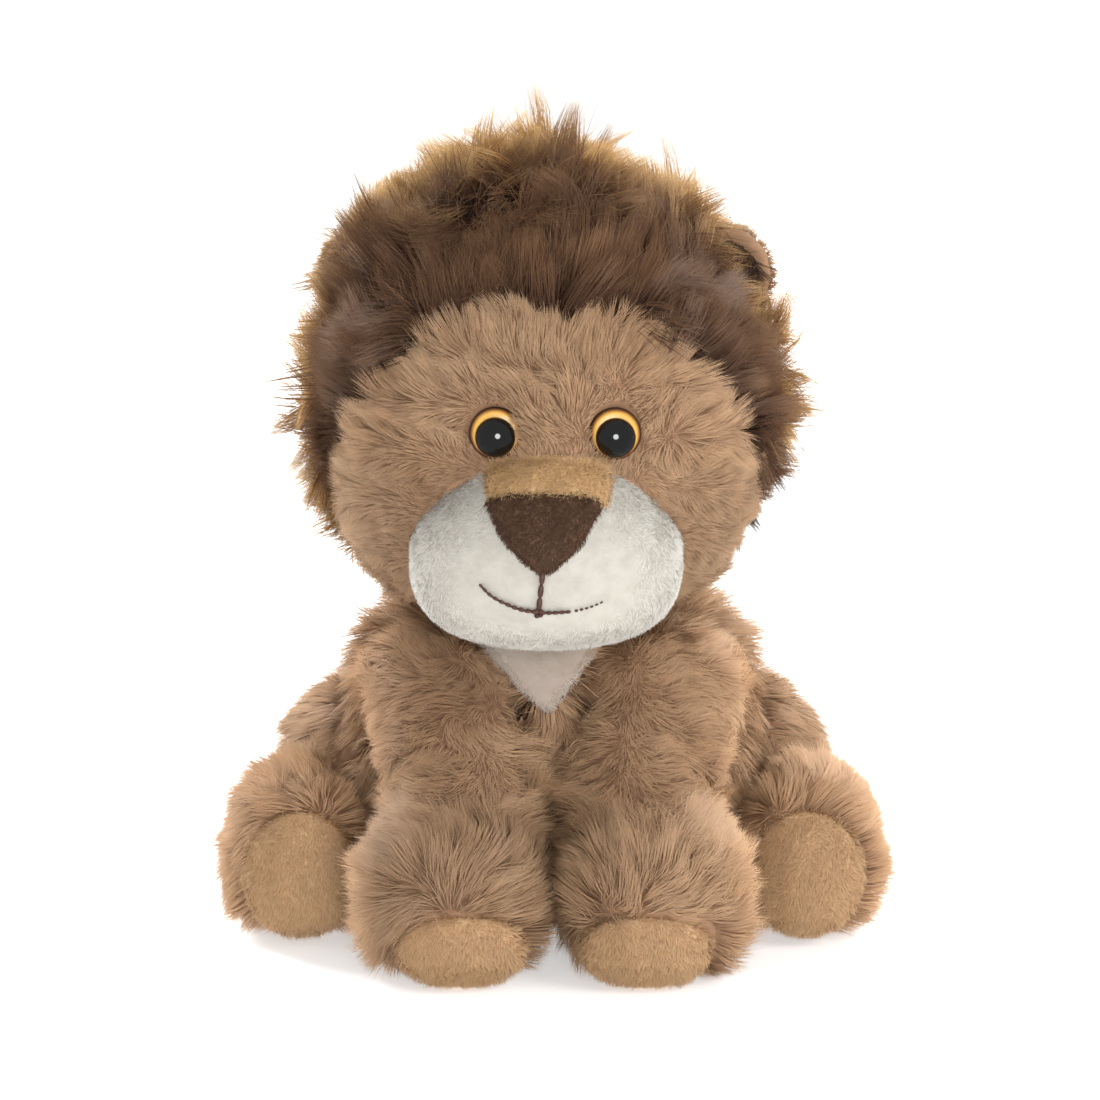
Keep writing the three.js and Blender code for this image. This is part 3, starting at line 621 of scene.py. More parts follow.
HAIRLINE = np.array([HEAD.at[0], -24.0, 140.0])
HAIRLINE_TILT = math.radians(37)
HAIRLINE_FACE = np.array([0.0, -math.cos(HAIRLINE_TILT), -math.sin(HAIRLINE_TILT)])
FACE_MIDDLE = np.array([HEAD.at[0] + 0.5, -66.0, 127.0])
EYES = {word: middle("eye_iris_" + word) for word in SIDES}
DIMPLE = 5.0


def dimple(places):
    for eye in EYES.values():
        depth = DIMPLE * hump(lengths(places - eye), 0, 9)
        places = places - depth[:, None] * AHEAD
    return places


CHEEK_WHORL = np.array([29.0, -58.0, 141.0])
BROW = np.array([-1.0, -66.0, 146.0])
BROW_SWEEP = np.array([-0.8, 0.0, 0.6])
WHORL_REACH, RIM_REACH, LID_REACH = 13, 11, 14
LIDS = {"left": np.array([0.15, 0.0, -0.99]), "right": np.array([0.6, 0.0, -0.8])}


def from_eye(places, word):
    """From an eye to each place, seen from the front."""
    away = places - EYES[word]
    away[:, 1] = 0
    return away


def to_eye(places):
    """The distance to the nearer eye, seen from the front."""
    return np.minimum(*(lengths(from_eye(places, word)) for word in SIDES))


def head_comb(places, normals):
    """Out from the middle of the face, with a whorl on the cheek, a sweep over the brow, and lids."""
    away = places - FACE_MIDDLE
    away[:, 1] *= 0.5
    whorl = places - CHEEK_WHORL
    comb = blended(unit(away), unit(whorl), hump(lengths(whorl), 0, WHORL_REACH))
    comb = blended(comb, BROW_SWEEP, hump(lengths(places - BROW), 0, WHORL_REACH))
    for word, side in SIDES.items():
        away = from_eye(places, word)
        around = 0.4 * unit(away) + 0.9 * side * np.cross(unit(away), AHEAD) + 0.5 * UP
        around = blended(around, -LIDS[word], lid(places, word))
        comb = blended(comb, around, hump(lengths(away), 0, RIM_REACH))
    return comb


def lid(places, word):
    """How much of a place's fur falls over the rim of an eye, from the side that its lid comes from."""
    away = from_eye(places, word)
    return fade(unit(away) @ LIDS[word], 0.05, 0.45) * (lengths(away) < LID_REACH)


def lids(places):
    return np.maximum(*(lid(places, word) for word in SIDES))


def before_hairline(places):
    return (places - HAIRLINE) @ HAIRLINE_FACE


def on_face(places):
    """True before the hairline, which dips at the middle of the forehead and draws in at the temples."""
    across = places[:, 0] - HEAD.at[0]
    temple = np.minimum((across / 38) ** 2, 1) * fade(places[:, 2], 112, 127)
    return before_hairline(places) > 2 + 7.5 * temple + 6.5 * hump(across, 3.6, 7)


def head_share(places, normals):
    """Short round the eyes and the muzzle, and longer on the jowls."""
    x, y, z = places.T
    near_eye = np.maximum(np.maximum(fade(to_eye(places), 3, 13), 0.42), 0.95 * lids(places))
    from_muzzle = np.hypot((x - MUZZLE.at[0]) / 34, (z - MUZZLE.at[2]) / 26)
    near_muzzle = np.maximum(fade(from_muzzle, 0.8, 1.5), 0.4)
    jowl = fade(z, 104, 96) * fade(np.abs(x), 34, 40)
    return np.where(y < -30, np.minimum(near_eye, near_muzzle), 1) * (1 + 0.6 * jowl)


def clear_of_eyes(places):
    """Off the eyes, with a dark gap round their rims where no lid of fur falls."""
    return to_eye(places) > 6.5 - 0.7 * lids(places)


def eye_rise(places, normals):
    """The fur stands up round the eyes, apart from the lids."""
    return 1 + (0.7 - 0.6 * lids(places)) * hump(to_eye(places), 7, 2.5)


def cheek_painted_shade(places):
    """Painted shade: the pile below the eyes is painted darker than the forehead's, for the shade on the
    cheeks.
    """
    return 0.75 * fade(places[:, 2], 138, 120)


def make_head():
    mesh = ball_mesh(HEAD, dimple, -PILE_DEPTH)
    stand_in("head_skin", mesh, "head", PLUSH_BACK, "head")
    near = others("head", "eye_pupil", "eye_washer")
    fur("head_pile", mesh, "head", PLUSH, SHORT, head_comb, 11, near, head_share, room=4, rise=eye_rise,
        keep=lambda places, normals: clear_of_eyes(places) & on_face(places), painted_shade=cheek_painted_shade)
    tidy = replace(LONG, length=16, tousle=0.1, loose=0.0)
    fur("mane_front_pile", mesh, "head", MANE_DARK, tidy, mane_comb, 12, near, room=1,
        keep=lambda places, normals: ~on_face(places) & (before_hairline(places) > -14))
    return mesh


# Muzzle, bridge and nose

def muzzle_shape(places):
    """Fuller cheeks low down, and a narrower top."""
    height = (places[:, 2] - MUZZLE.at[2]) / MUZZLE.up
    narrow = 1 - 0.2 * fade(height, 0, 1) + 0.04 * fade(height, 0, -1)
    places[:, 0] = MUZZLE.at[0] + (places[:, 0] - MUZZLE.at[0]) * narrow
    return places


def short_comb(*way):
    """Brushed one way all over."""
    return lambda places, normals: np.tile(way, (len(places), 1)).astype(float)


def on_form(tree, x, z, lift):
    """The place at x and z where a form is met from the front, lifted off it."""
    place, normal, *_ = tree.ray_cast(Vector((x, FAR_AHEAD, z)), Vector((0, 1, 0)))
    return place + normal * lift


PANEL_SPLITS, PANEL_THICKNESS, PUFF_RUN, SUNK = 4, 1.2, 1.6, 0.6


def panel(name, outline, puff, tree, node, cloth, body="head"):
    """A sewn panel on a form: an outline in X and Z, pushed out to the form and puffed in its middle."""
    bm = bmesh.new()
    bm.faces.new([bm.verts.new((x, 0, z)) for x, z in outline])
    bmesh.ops.triangulate(bm, faces=bm.faces)
    for _ in range(PANEL_SPLITS):
        bmesh.ops.subdivide_edges(bm, edges=bm.edges, cuts=1, use_grid_fill=True)
    bmesh.ops.beautify_fill(bm, faces=bm.faces, edges=bm.edges)
    ring = np.array(outline + outline[:1])
    start, step = ring[:-1], np.diff(ring, axis=0)
    for vertex in bm.verts:
        here = np.array([vertex.co.x, vertex.co.z])
        share = np.clip(((here - start) * step).sum(axis=1) / (step ** 2).sum(axis=1), 0, 1)
        inside = lengths(start + share[:, None] * step - here).min()
        lift = puff * (1 - math.exp(-inside / PUFF_RUN)) - SUNK
        vertex.co = on_form(tree, *here, lift) * MM
    bmesh.ops.solidify(bm, geom=bm.faces[:], thickness=PANEL_THICKNESS * MM)
    bmesh.ops.recalc_face_normals(bm, faces=bm.faces)
    return stand_in(name, mesh_of(bm, name), body, cloth, node)


def tree_of(*meshes):
    """A tree of the meshes' faces, in millimetres."""
    places, faces = [], []
    for mesh in meshes:
        mesh.calc_loop_triangles()
        start = len(places)
        places += [v.co / MM for v in mesh.vertices]
        faces += [tuple(start + i for i in t.vertices) for t in mesh.loop_triangles]
    return BVHTree.FromPolygons(places, faces)


def curve(points, steps):
    """A smooth line through points, by Catmull and Rom's rule."""
    points = [np.array(p, dtype=float) for p in points]
    ends = [2 * points[0] - points[1], *points, 2 * points[-1] - points[-2]]
    line = []
    for a, b, c, d in zip(ends, ends[1:], ends[2:], ends[3:]):
        for t in np.arange(steps) / steps:
            line.append(0.5 * (2 * b + (c - a) * t + (2 * a - 5 * b + 4 * c - d) * t ** 2
                               + (3 * b - a - 3 * c + d) * t ** 3))
    return [tuple(p) for p in [*line, points[-1]]]


def mirrored(x, top, side):
    """An outline from its lower left to its lower right. The side is given from its top."""
    return [*((x - a, z) for a, z in reversed(side)), (x, top), *((x + a, z) for a, z in side)]


NOSE_TOP = 130.0
NOSE_OUTLINE = curve(mirrored(MUZZLE.at[0] - 0.5, NOSE_TOP + 0.8, [
    (9.5, 129.9), (14.6, 127.6), (13.0, 123.6), (9.6, 118.0), (5.6, 113.8), (1.6, 110.8)]), 3)
BRIDGE_OUTLINE = mirrored(MUZZLE.at[0] + 0.7, 138.0, [(14.5, 136.8), (16.4, 132.0), (14.8, 126.0)])


# Lines of stitches, with the width and the spacing of each line's stitches, their taper and their lap
MOUTH = [
    ([(-2.5, 111.4), (-3.1, 106.0), (-3.6, 101.0)], 1.5, 3.4),
    ([(-4.1, 101.5), (-4.0, 99.1)], 1.5, 1.2),
    ([(-3.1, 101.5), (-3.2, 99.3)], 1.4, 1.2),
    ([(-3.6, 100.6), (-8.0, 101.2), (-12.6, 102.9), (-15.8, 104.7), (-18.3, 107.2)], 1.2, 1.7, 0.4),
    ([(-3.6, 100.5), (0.4, 100.5), (4.4, 100.7)], 1.1, 1.6, 0.2),
    ([(5.2, 100.8), (9.0, 101.6), (12.8, 103.0)], 0.75, 1.3, 0.4, 0.75),
]
THREAD_LIFT = 0.75


def stitches(bm, tree, line, width, gap, taper=0.0, lap=1.15):
    """Satin stitches end to end along a line on the muzzle, thinner by the taper at the line's end."""
    path = curve(line, 12)
    run = [0.0]
    for a, b in zip(path, path[1:]):
        run.append(run[-1] + math.dist(a, b))
    count = round(run[-1] / gap)
    for number in range(count):
        thinner = taper * number / count
        ends = []
        for stop in (number * gap, number * gap + gap * lap):
            x, z = (np.interp(stop, run, values) for values in zip(*path))
            ends.append(on_form(tree, x, z, THREAD_LIFT - 0.3 * thinner))
        thick = width * (1 - thinner) / 2
        along = ends[1] - ends[0]
        turn = along.to_track_quat("X", "Z").to_matrix().to_4x4()
        size = Matrix.Diagonal((along.length / 2, thick, thick, 1))
        place = Matrix.Translation((ends[0] + ends[1]) / 2 * MM) @ turn @ Matrix.Scale(MM, 4) @ size
        bmesh.ops.create_uvsphere(bm, u_segments=8, v_segments=6, radius=1, matrix=place)


def make_mouth(tree):
    bm = bmesh.new()
    for line in MOUTH:
        stitches(bm, tree, *line)
    new_piece("mouth_stitching", mesh_of(bm, "mouth_stitching"), "head", THREAD)


NAP = Pile(1.8, 0.18, 6.5, lean=50, stand=18, tuft=1.2, gather=0.1, wave=0.6, wave_size=7, fray=0.4,
           relief=0.05)
BROWN_PILE = replace(NAP, length=1.5)
BRIDGE_PILE = replace(NAP, length=1.7)
PAD_PILE = replace(NAP, length=2.8, lean=60, stand=34)
DOWN = short_comb(0, 0, -1)


def nap_fibre(name, colour, other):
    """The fibres of the minky, which fuzz its edges."""
    stops = [(0.0, colour), (1.0, other)]
    return fibre(name, stops, stops, 8, 0.4, 0.4, contrast=0.05)


def make_muzzle(head_mesh):
    mesh = ball_mesh(MUZZLE, muzzle_shape, -1.0)
    stand_in("muzzle_skin", mesh, "head", WHITE_NAP, "muzzle")
    tree = tree_of(mesh, head_mesh)
    nose = panel("nose_panel", NOSE_OUTLINE, 2.2, tree, "nose", BROWN_NAP)
    bridge = panel("muzzle_bridge_panel", BRIDGE_OUTLINE, 1.5, tree, "muzzle_bridge", BRIDGE_NAP)
    make_mouth(tree)
    white = "white_nap", nap_fibre("white_minky_fibres", "#d0ccc4", "#e0ddd6")
    bare = others("muzzle", "nose")
    fur("muzzle_nap", mesh, "head", white, NAP, DOWN, 21, bare, room=1,
        keep=lambda places, normals: (normals[:, 1] < 0.5) & ~under_panels(places) & at_edge(normals))
    brown = "brown_nap", nap_fibre("brown_minky_fibres", "#402c20", "#634836")
    fur("nose_nap", nose.data, "head", brown, BROWN_PILE, DOWN, 22, [],
        keep=lambda places, normals: normals[:, 1] < -0.1)
    tan = "tan_nap", nap_fibre("tan_minky_bridge_fibres", "#ae8a62", "#dfbf90")
    fur("muzzle_bridge_nap", bridge.data, "head", tan, BRIDGE_PILE, DOWN, 23, [],
        keep=lambda places, normals: normals[:, 1] < -0.1)


def by_chance(seed, shares):
    return np.random.default_rng(seed).random(len(shares)) < shares


def at_edge(normals):
    """Fibres stand clear of the muzzle only where it turns away, and fade out towards its front."""
    return by_chance(24, fade(normals[:, 1], -0.85, -0.4))


def under_panels(places):
    x, z = places[:, 0] - MUZZLE.at[0], places[:, 2]
    bridge = (np.abs(x) < 15.5) & (z > NOSE_TOP - 3)
    depth = np.maximum(NOSE_TOP - z, 0)
    wide = np.interp(depth, [0, 2.4, 6.4, 12, 16.2, 19.2], [13.5, 14, 12.4, 9, 5, 1])
    return bridge | ((np.abs(x - 0.4) < wide) & (z < NOSE_TOP + 0.5) & (depth < 19))


# Eyes: each turned from a profile about its own axis

def lathe(name, profile):
    """A profile of (radius, height) turned about +Y."""
    bm = bmesh.new()
    verts = [bm.verts.new((r * MM, y * MM, 0)) for r, y in profile]
    edges = [bm.edges.new(pair) for pair in zip(verts, verts[1:])]
    bmesh.ops.spin(bm, geom=verts + edges, axis=(0, 1, 0), cent=(0, 0, 0), angle=2 * math.pi, steps=64,
                   use_merge=True)
    bmesh.ops.remove_doubles(bm, verts=bm.verts, dist=WELD)
    bmesh.ops.recalc_face_normals(bm, faces=bm.faces)
    return mesh_of(bm, name)


EYE_YAW = {"left": math.radians(6), "right": math.radians(3)}
EYE_PITCH = math.radians(-4)
PUPIL_DROP = 0.9
EYE_SETS = {"left": (0.3, -0.2, -1.0), "right": (0.6, -0.2, -0.7)}
IRIS_RADIUS, PUPIL_RADIUS = 6.7, 5.1
RING = [(2.6, -1.15), (6.1, -1.15), (6.6, -0.65), (6.7, -0.05), (6.5, 0.25), (5.9, 0.85),
        (5.2, 1.15), (2.6, 1.15), (2.6, -1.15)]
SHANK = [(0, -8), (1.8, -8), (1.8, 1.3), (4.9, 1.3)]
DOME = [(PUPIL_RADIUS * math.cos(a), 1.45 + 3.6 * math.sin(a)) for a in np.linspace(0, math.pi / 2, 14)]


def make_eyes():
    for word, side in SIDES.items():
        turn = Matrix.Rotation(side * EYE_YAW[word], 4, "Z") @ Matrix.Rotation(EYE_PITCH, 4, "X")
        turn = turn @ Matrix.Rotation(math.pi, 4, "Z")
        place = Matrix.Translation(Vector(EYES[word] + np.array(EYE_SETS[word])) * MM) @ turn
        iris = lathe("eye_ring_" + word, RING)
        across = iris.uv_layers.new(name="across")
        radii = np.array([math.hypot(v.co.x, v.co.z) / MM for v in iris.vertices])
        shares = fade(radii, PUPIL_RADIUS, IRIS_RADIUS)
        for loop in iris.loops:
            across.data[loop.index].uv = (shares[loop.vertex_index], 0.5)
        pupil = lathe("eye_dome_" + word, SHANK + DOME)
        pupil.transform(Matrix.Translation((0, 0, -PUPIL_DROP * MM)))
        for mesh, node, cloth in ((iris, "iris", AMBER), (pupil, "pupil", PUPIL)):
            mesh.transform(place)
            piece = stand_in(mesh.name, mesh, "head", cloth, f"eye_{node}_{word}")
            given(piece.modifiers.new("edge", "EDGE_SPLIT"), split_angle=math.radians(40))
        washer = CAD_MESHES["eye_washer_" + word]
        washer.materials.clear()
        washer.materials.append(WASHER)


# Mane: a full cap of long pile behind the hairline

MANE_DEPTH = 10.5
MANE_BACK_FILL = 5.0
MANE_HALF = 2.0
EAR_PRESS = {"left": 0.5, "right": 0.3}


def mane_comb(places, normals):
    """Out from the middle of the head, and down behind it."""
    away = places - np.array([HEAD.at[0], 0, 136.0])
    away[:, 1] = 0
    behind = np.clip(normals[:, 1:2], 0, 1)
    down = np.array([0, 0.25, -1.0])
    back = np.array([0, 0.35, 0.0])
    return unit(away) * (1 - 0.75 * behind) + down * behind * 1.1 + back * (1 - behind)


def before_mane(normals):
    """True on the cut front of the mane, which faces forward and down."""
    return normals @ HAIRLINE_FACE > 0.8


def mane_share(places, normals):
    """Longest at the crown and the nape, and pressed short round the ears and beside the left cheek."""
    x, y, z = places.T
    cheek = (x > 0) * hump(z, 112, 18) * (y < 30)
    shoulder = hump(np.abs(x - HEAD.at[0] + 5), 27, 10) * fade(z, 176, 188)
    corner = hump(x, -46, 10) * hump(z, 184, 10)
    nape = fade(z, 108, 100) * (np.abs(x) > 26)
    share = (1 - 0.65 * cheek) * (1 - 0.4 * shoulder) * (1 + 0.3 * corner) * (1 + 0.4 * nape)
    for word, side in SIDES.items():
        ear = middle("ear_" + word)
        near = fade(np.hypot(x - ear[0], z - ear[2]), 22, 14) * (y < 15) * ((x - ear[0]) * side > -8)
        share *= 1 - EAR_PRESS[word] * near
    return share


def wisp_share(places, normals):
    """Longer locks at the sides, and two that stand up from the crown."""
    x, _, z = places.T
    side = fade(np.abs(x), 40, 50) * hump(z, 140, 22)
    top = fade(z, 180, 195)
    locks = hump(x, -4, 1.6) + hump(x, -24, 2)
    return mane_share(places, normals) * (1 + 0.35 * side + 0.1 * top + 0.2 * locks * top)


def thinned(places):
    """Fewer strands at the back, where they lie flat over one another."""
    return by_chance(33, np.where(places[:, 1] > 18, 0.5, 1))


def fuller_behind(places):
    """Leans to one side below the crown, and is drawn in less behind, where the pile lies flat."""
    height = places[:, 2]
    places[:, 0] -= 3.5 * fade(height, 158, 178) * fade(height, 206, 196)
    behind = fade(places[:, 1], 2, 22)[:, None]
    return places + MANE_BACK_FILL * behind * unit(places - np.array(MANE_BALL.at))


def mane_cap():
    """The mane's form drawn in by the depth of its pile, and cut off along the hairline."""
    bm = bmesh.new()
    bm.from_mesh(ball_mesh(MANE_BALL, fuller_behind, -MANE_DEPTH))
    everything = bm.verts[:] + bm.edges[:] + bm.faces[:]
    bmesh.ops.bisect_plane(bm, geom=everything, plane_co=HAIRLINE * MM, plane_no=HAIRLINE_FACE,
                           clear_outer=True)
    bmesh.ops.holes_fill(bm, edges=bm.edges)
    return mesh_of(bm, "mane")


def make_mane():
    mesh = smoothed(mane_cap(), 0, 2.5, 12)
    stand_in("mane_skin", mesh, "head", MANE_BACK, "mane")
    near = others("mane", "ear_")
    for name, seed, ahead in (("mane_pile", 31, True), ("mane_back_pile", 35, False)):
        fur(name, mesh, "head", MANE, LONG, mane_comb, seed, near, mane_share, room=3,
            keep=lambda places, normals, ahead=ahead: ((places[:, 1] < MANE_HALF) == ahead)
            & ~before_mane(normals) & thinned(places))
    fur("mane_wisps", mesh, "head", MANE, WISP, mane_comb, 34, near, wisp_share, room=3,
        keep=lambda places, normals: ~before_mane(normals) & (np.abs(normals[:, 1]) < 0.55))
    tidy = replace(LONG, tousle=0.15, loose=0.0)
    fur("mane_brow_pile", mesh, "head", MANE_DARK, tidy, mane_comb, 32, near, room=1,
        keep=lambda places, normals: before_mane(normals),
        rise=lambda places, normals: np.full(len(places), 0.35))


# Ears

def make_ears():
    for word, side in SIDES.items():
        ear, lining = "ear_" + word, "ear_lining_" + word
        heart = Vector(middle(ear))
        comb = lambda places, normals, heart=heart: unit(places - np.array(heart)) + np.array([0, 0.3, 0.2])
        hold = Matrix.Translation((heart - Vector((side * 8, 0, 10))) * MM)
        shrink = hold @ Matrix.Scale(0.87, 4) @ hold.inverted()
        mesh = rounded(ear, 0.4, 1.0, 6)
        mesh.transform(shrink)
        stand_in("ear_skin_" + word, mesh, "head", PLUSH_BACK, ear)
        fur("ear_pile_" + word, mesh, "head", EAR_PLUSH, EAR, comb, 41 + side, others(ear, "mane"), room=2)
        mesh = rounded(lining, 0.0, 0.8, 4)
        mesh.transform(shrink)
        stand_in("ear_lining_skin_" + word, mesh, "head", MANE_BACK, lining)
        fur("ear_lining_pile_" + word, mesh, "head", MANE_DARK, replace(LONG, length=7, per_mm2=4),
            short_comb(-0.5 * side, 0, -0.8), 43 + side, others(lining, "mane"), room=1)


# Body, bib, seat and pellet bag

def body_comb(places, normals):
    """Down the flanks, and out over the shoulders."""
    x, _, z = places.T
    level = np.ones(len(places))
    down = np.stack([x * 0.012, -0.15 * level, -level], axis=1)
    out = np.stack([np.sign(x), 0 * level, 0.25 * level], axis=1)
    return blended(down, out, fade(z, 66, 76))


def body_share(places, normals):
    high = fade(places[:, 2], 68, 78) * (np.abs(places[:, 0]) > 22)
    return low_share(places, normals) * (1 + 0.8 * high)


def body_room(places):
    """Little room is kept free on the chest, where the pile fills the gap between the front legs."""
    x, y, z = places.T
    return np.where((y < -18) & (np.abs(x) < 28) & (z > 40), 1.0, 4.4)


BIB_OUTLINE = [(-25, 88), (-13, 75.5), (-1.5, 64.5), (8, 76), (16, 88)]


def from_bib_seam(places):
    """How far beside the bib's seams a place lies, below 0 on the bib."""
    return np.abs(places[:, 0] + 2.5) - np.interp(places[:, 2], [64.5, 75.5, 88], [0, 11, 20])


def beside_bib(places, normals):
    """True off the bib, and just under its edge."""
    return (from_bib_seam(places) > -4) | (places[:, 1] > 0)


def make_body():
    mesh = rounded("body", PILE_DEPTH)
    stand_in("body_skin", mesh, "body", PLUSH_BACK, "body")
    fur("body_pile", mesh, "body", PLUSH, FLANK, body_comb, 51, others("body"), body_share,
        keep=beside_bib, room=body_room)
    bib = panel("chest_bib_panel", BIB_OUTLINE, 1.2, tree_of(ball_mesh(BODY)), "chest_bib", BIB_NAP_PAINTED_SHADE, "body")
    # These fibres are painted darker than the muzzle's, as painted shade under the muzzle.
    fibres = "white_nap", nap_fibre("bib_minky_fibres_painted_shade", "#bcb0a5", "#d0c5ba")
    fur("chest_bib_nap", bib.data, "body", fibres, NAP, DOWN, 52, [],
        keep=lambda places, normals: (normals[:, 1] < 0) & (from_bib_seam(places) > -2.5))
    stand_in("seat_panel_cloth", rounded("seat_panel", 0.0, 0.7, 2), "body", SEAT_CLOTH, "seat_panel")
    stand_in("pellet_bag_cloth", rounded("pellet_bag", 0.0, 1.5, 6), "body", BAG_CLOTH,
             "pellet_bag")


def low_share(places, normals):
    """Shorter where the pile is pressed on what the toy sits on."""
    return np.clip(0.35 + places[:, 2] / 14, 0.35, 1)


# Legs

PAD_SINK = 2.8
PAD_SHIFT = -2.5
RIM_SHARE = 0.8
PAD_TILTS = {"front_paw_pad": math.radians(-12), "hind_foot_pad": math.radians(-8)}
PAW_WHORLS = {1: (9.5, -82.0, 19.5), -1: (-30.0, -84.0, 20.0)}
FOOT_WHORLS = {1: (54.0, -44.0, 33.0), -1: (-58.0, -45.0, 37.0)}
PARTING = 20.0
SPIRAL = 0.6
LEG_SEEDS = {"front_leg_left": 60, "hind_leg_left": 65, "front_leg_right": 70, "hind_leg_right": 75}


def around_whorl(places, normals, whorl):
    """Out from a whorl, with a slight spiral."""
    out = unit(places - whorl)
    return out + SPIRAL * np.cross(normals, out)


def front_leg_comb(side):
    """Down the leg's parting and out to its sides, and out from a whorl on the paw."""
    whorl = np.array(PAW_WHORLS[side])

    def comb(places, normals):
        x, y, z = places.T
        aside = np.clip((x - side * PARTING) / 9, -1, 1)
        high = fade(z, 68, 82) * (aside * side > 0)
        down = -0.85 + 0.4 * np.abs(aside) + 0.6 * high
        leg = np.stack([0.7 * aside, 0.3 * np.abs(aside) - 0.2, down], axis=1)
        return blended(leg, around_whorl(places, normals, whorl), fade(z, 46, 36) * (y < -36))

    return comb


def hind_leg_comb(side):
    """Down the thigh, and out from a whorl on the foot."""
    whorl = np.array(FOOT_WHORLS[side])

    def comb(places, normals):
        thigh = np.tile([side * 0.5, -0.1, -0.85], (len(places), 1))
        return blended(thigh, around_whorl(places, normals, whorl), fade(places[:, 1], -2, -14))

    return comb


def off_pad(patch):
    """True where a root isn't under a pad, well inside its rim."""
    inner = patch.copy()
    heart = Matrix.Translation(sum((v.co for v in patch.vertices), Vector()) / len(patch.vertices))
    inner.transform(heart @ Matrix.Scale(RIM_SHARE, 4) @ heart.inverted())
    tree = tree_of(inner)
    return lambda places, normals: unblocked(tree, places - 3 * normals, normals, np.full(len(places), 12))


def paw_share(places, normals):
    """The fur of the leg, with a longer fringe on the paw or the foot."""
    x, y, z = places.T
    front = fade(y, -28, -42) * fade(z, 48, 40)
    thigh = (y > -25) * fade(z, 36, 48)
    inner = fade(np.abs(x), 15, 9) * fade(z, 36, 44)
    outer = fade(np.abs(x), 62, 70) * fade(np.abs(z - 30), 0, 14)
    low = np.clip(0.6 + z / 14, 0.6, 1)
    return low * (0.82 + 0.46 * front + 0.45 * thigh + 0.4 * inner + 0.4 * outer)


def fuller_inside(mesh, side):
    """Lets a front leg swell towards the other one, so that they meet under the bib."""
    for vertex in mesh.vertices:
        x, y, z = vertex.co / MM
        swell = fade(abs(x), 24, 14) * fade(z, 38, 48) * (y < -8)
        vertex.co.x -= side * 3.2 * swell * MM


def paw_painted_shade_and_light(places):
    """Painted shade on the front paws, most on the right one, which faces away from the light, and painted
    light that makes the feet paler.
    """
    x, y, z = places.T
    paw = fade(z, 50, 38) * fade(y, -40, -48)
    foot = fade(np.abs(x), 40, 46) * (y < -15)
    return paw * np.clip(0.5 - x / 70, 0.1, 0.9) * (1 - foot) - 0.7 * foot


def make_legs():
    tan = "tan_nap", nap_fibre("tan_minky_fibres", "#b48c63", "#dcbd96")
    for word, side in SIDES.items():
        for kind, comb, pad, shift in (("front_leg", front_leg_comb(side), "front_paw_pad", PAD_SHIFT),
                                       ("hind_leg", hind_leg_comb(side), "hind_foot_pad", 0)):
            node, pad_node = f"{kind}_{word}", f"{pad}_{word}"
            seed = LEG_SEEDS[node]
            mesh = rounded(node, PILE_DEPTH)
            if kind == "front_leg":
                fuller_inside(mesh, side)
            stand_in(node + "_skin", mesh, node, PLUSH_BACK, node)
            patch = rounded(pad_node, 0.2, 0.8, 6)
            heart = Matrix.Translation(Vector(middle(pad_node)) * MM)
            place = Matrix.Translation((side * shift * MM, PAD_SINK * MM, 0))
            patch.transform(place @ heart @ Matrix.Rotation(PAD_TILTS[pad], 4, "X") @ heart.inverted())
            fur(node + "_pile", mesh, node, PLUSH, LEG, comb, seed, others(node, "front_leg"),
                paw_share, room=5.5, keep=off_pad(patch), painted_shade=paw_painted_shade_and_light)
            stand_in(pad_node + "_panel", patch, node, TAN_NAP, pad_node)
            fur(pad_node + "_nap", patch, node, tan, PAD_PILE, DOWN, seed + 1, [],
                keep=lambda places, normals: normals[:, 1] < 0.45)


# Tail

def tail_comb(places, normals):
    """Along the tail, which curves round to the left."""
    x = places[:, 0]
    return np.stack([0.3 + x / 30, 1 - x / 30, np.zeros(len(places))], axis=1)


def make_tail():
    bare = others("tail")
    mesh = rounded("tail", 0.8, 1.2, 6)
    stand_in("tail_skin", mesh, "tail", PLUSH_BACK, "tail")
    fur("tail_pile", mesh, "tail", PLUSH, replace(EAR, length=6.5), tail_comb, 81, bare, room=3)
    tuft = rounded("tail_tuft", 0.8, 1.2, 5)
    stand_in("tail_tuft_skin", tuft, "tail", MANE_BACK, "tail_tuft")
    fur("tail_tuft_pile", tuft, "tail", MANE, replace(LONG, length=10, per_mm2=2.2),
        short_comb(1, 0.1, 0), 82, bare, room=3)


make_muzzle(make_head())
make_eyes()
make_mane()
make_ears()
make_body()
make_legs()
make_tail()


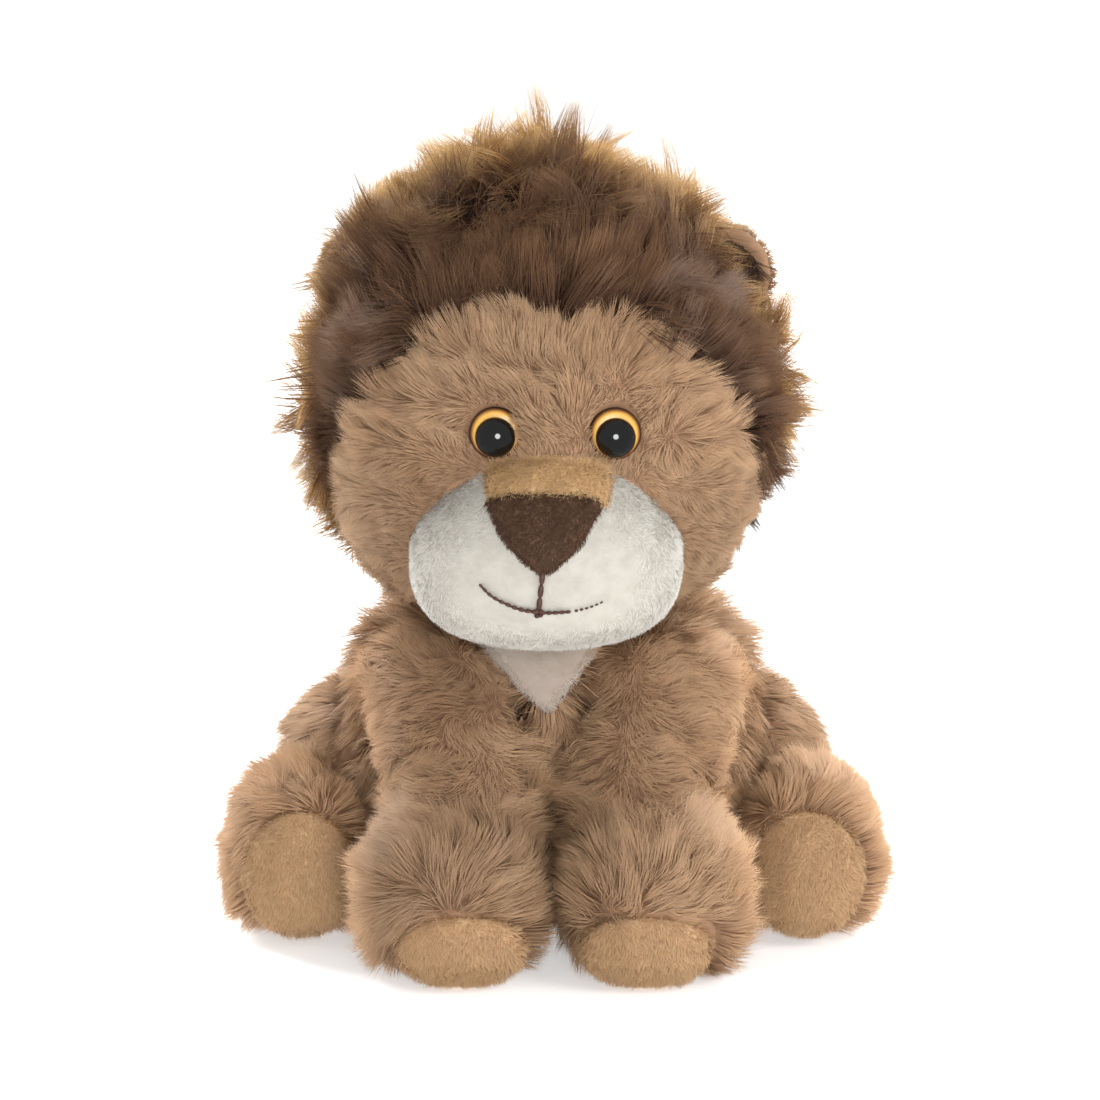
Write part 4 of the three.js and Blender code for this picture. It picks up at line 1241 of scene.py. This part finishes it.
# Floor, lights and camera, in metres

FLOOR_REACH = 40
LIT_AT = Vector((0, 0, 0.1))


def make_floor():
    bm = bmesh.new()
    bmesh.ops.create_grid(bm, x_segments=1, y_segments=1, size=FLOOR_REACH)
    floor = placed("floor", mesh_of(bm, "floor"))
    paper = new_material("white_paper_sweep")[0]
    floor.data.materials.append(surfaced(paper, {
        "Base Color": linear("#f4f4f4"), "Roughness": 0.9,
        "Emission Color": linear("#ffffff"), "Emission Strength": 0.45,
    }))
    floor.visible_glossy = False


def lamp(name, kind, come_from, **settings):
    """A light that shines from that way."""
    made = placed(name, given(bpy.data.lights.new(name, kind), **settings))
    made.rotation_euler = Vector(come_from).to_track_quat("Z", "Y").to_euler()
    return made


def soft_light(name, at, size, watts):
    """A round softbox that faces the toy."""
    lamp(name, "AREA", Vector(at) - LIT_AT, shape="DISK", size=size, energy=watts).location = at


def make_light():
    world = bpy.data.worlds.new("pale_room")
    world.use_nodes = True
    sky = world.node_tree.nodes["Background"].inputs
    sky["Color"].default_value = linear("#ffffff")
    sky["Strength"].default_value = 0.5
    bpy.context.scene.world = world
    sun = lamp("overhead", "SUN", (1.3, -0.85, 1.0), energy=1.3, angle=math.radians(30))
    sun.visible_glossy = False
    soft_light("rim_left", (-0.9, 0.8, 0.8), 0.6, 30)
    soft_light("rim_right", (0.9, 0.8, 0.8), 0.6, 30)
    soft_light("key", (0.3, -2.5, 0.5), 0.95, 35)
    bpy.context.scene.view_settings.view_transform = "Standard"


ELEVATION = math.radians(12)
DISTANCE = 1.0
SENSOR, LENS = 36, 121.1  # millimetres
AIM = Vector((-0.0008, -0.001, 0.1002))


def make_camera():
    camera = placed("camera", given(bpy.data.cameras.new("camera"), sensor_width=SENSOR, lens=LENS))
    camera.location = AIM + DISTANCE * Vector((0, -math.cos(ELEVATION), math.sin(ELEVATION)))
    camera.rotation_euler = (AIM - camera.location).to_track_quat("-Z", "Y").to_euler()
    bpy.context.scene.camera = camera


make_floor()
make_light()
make_camera()
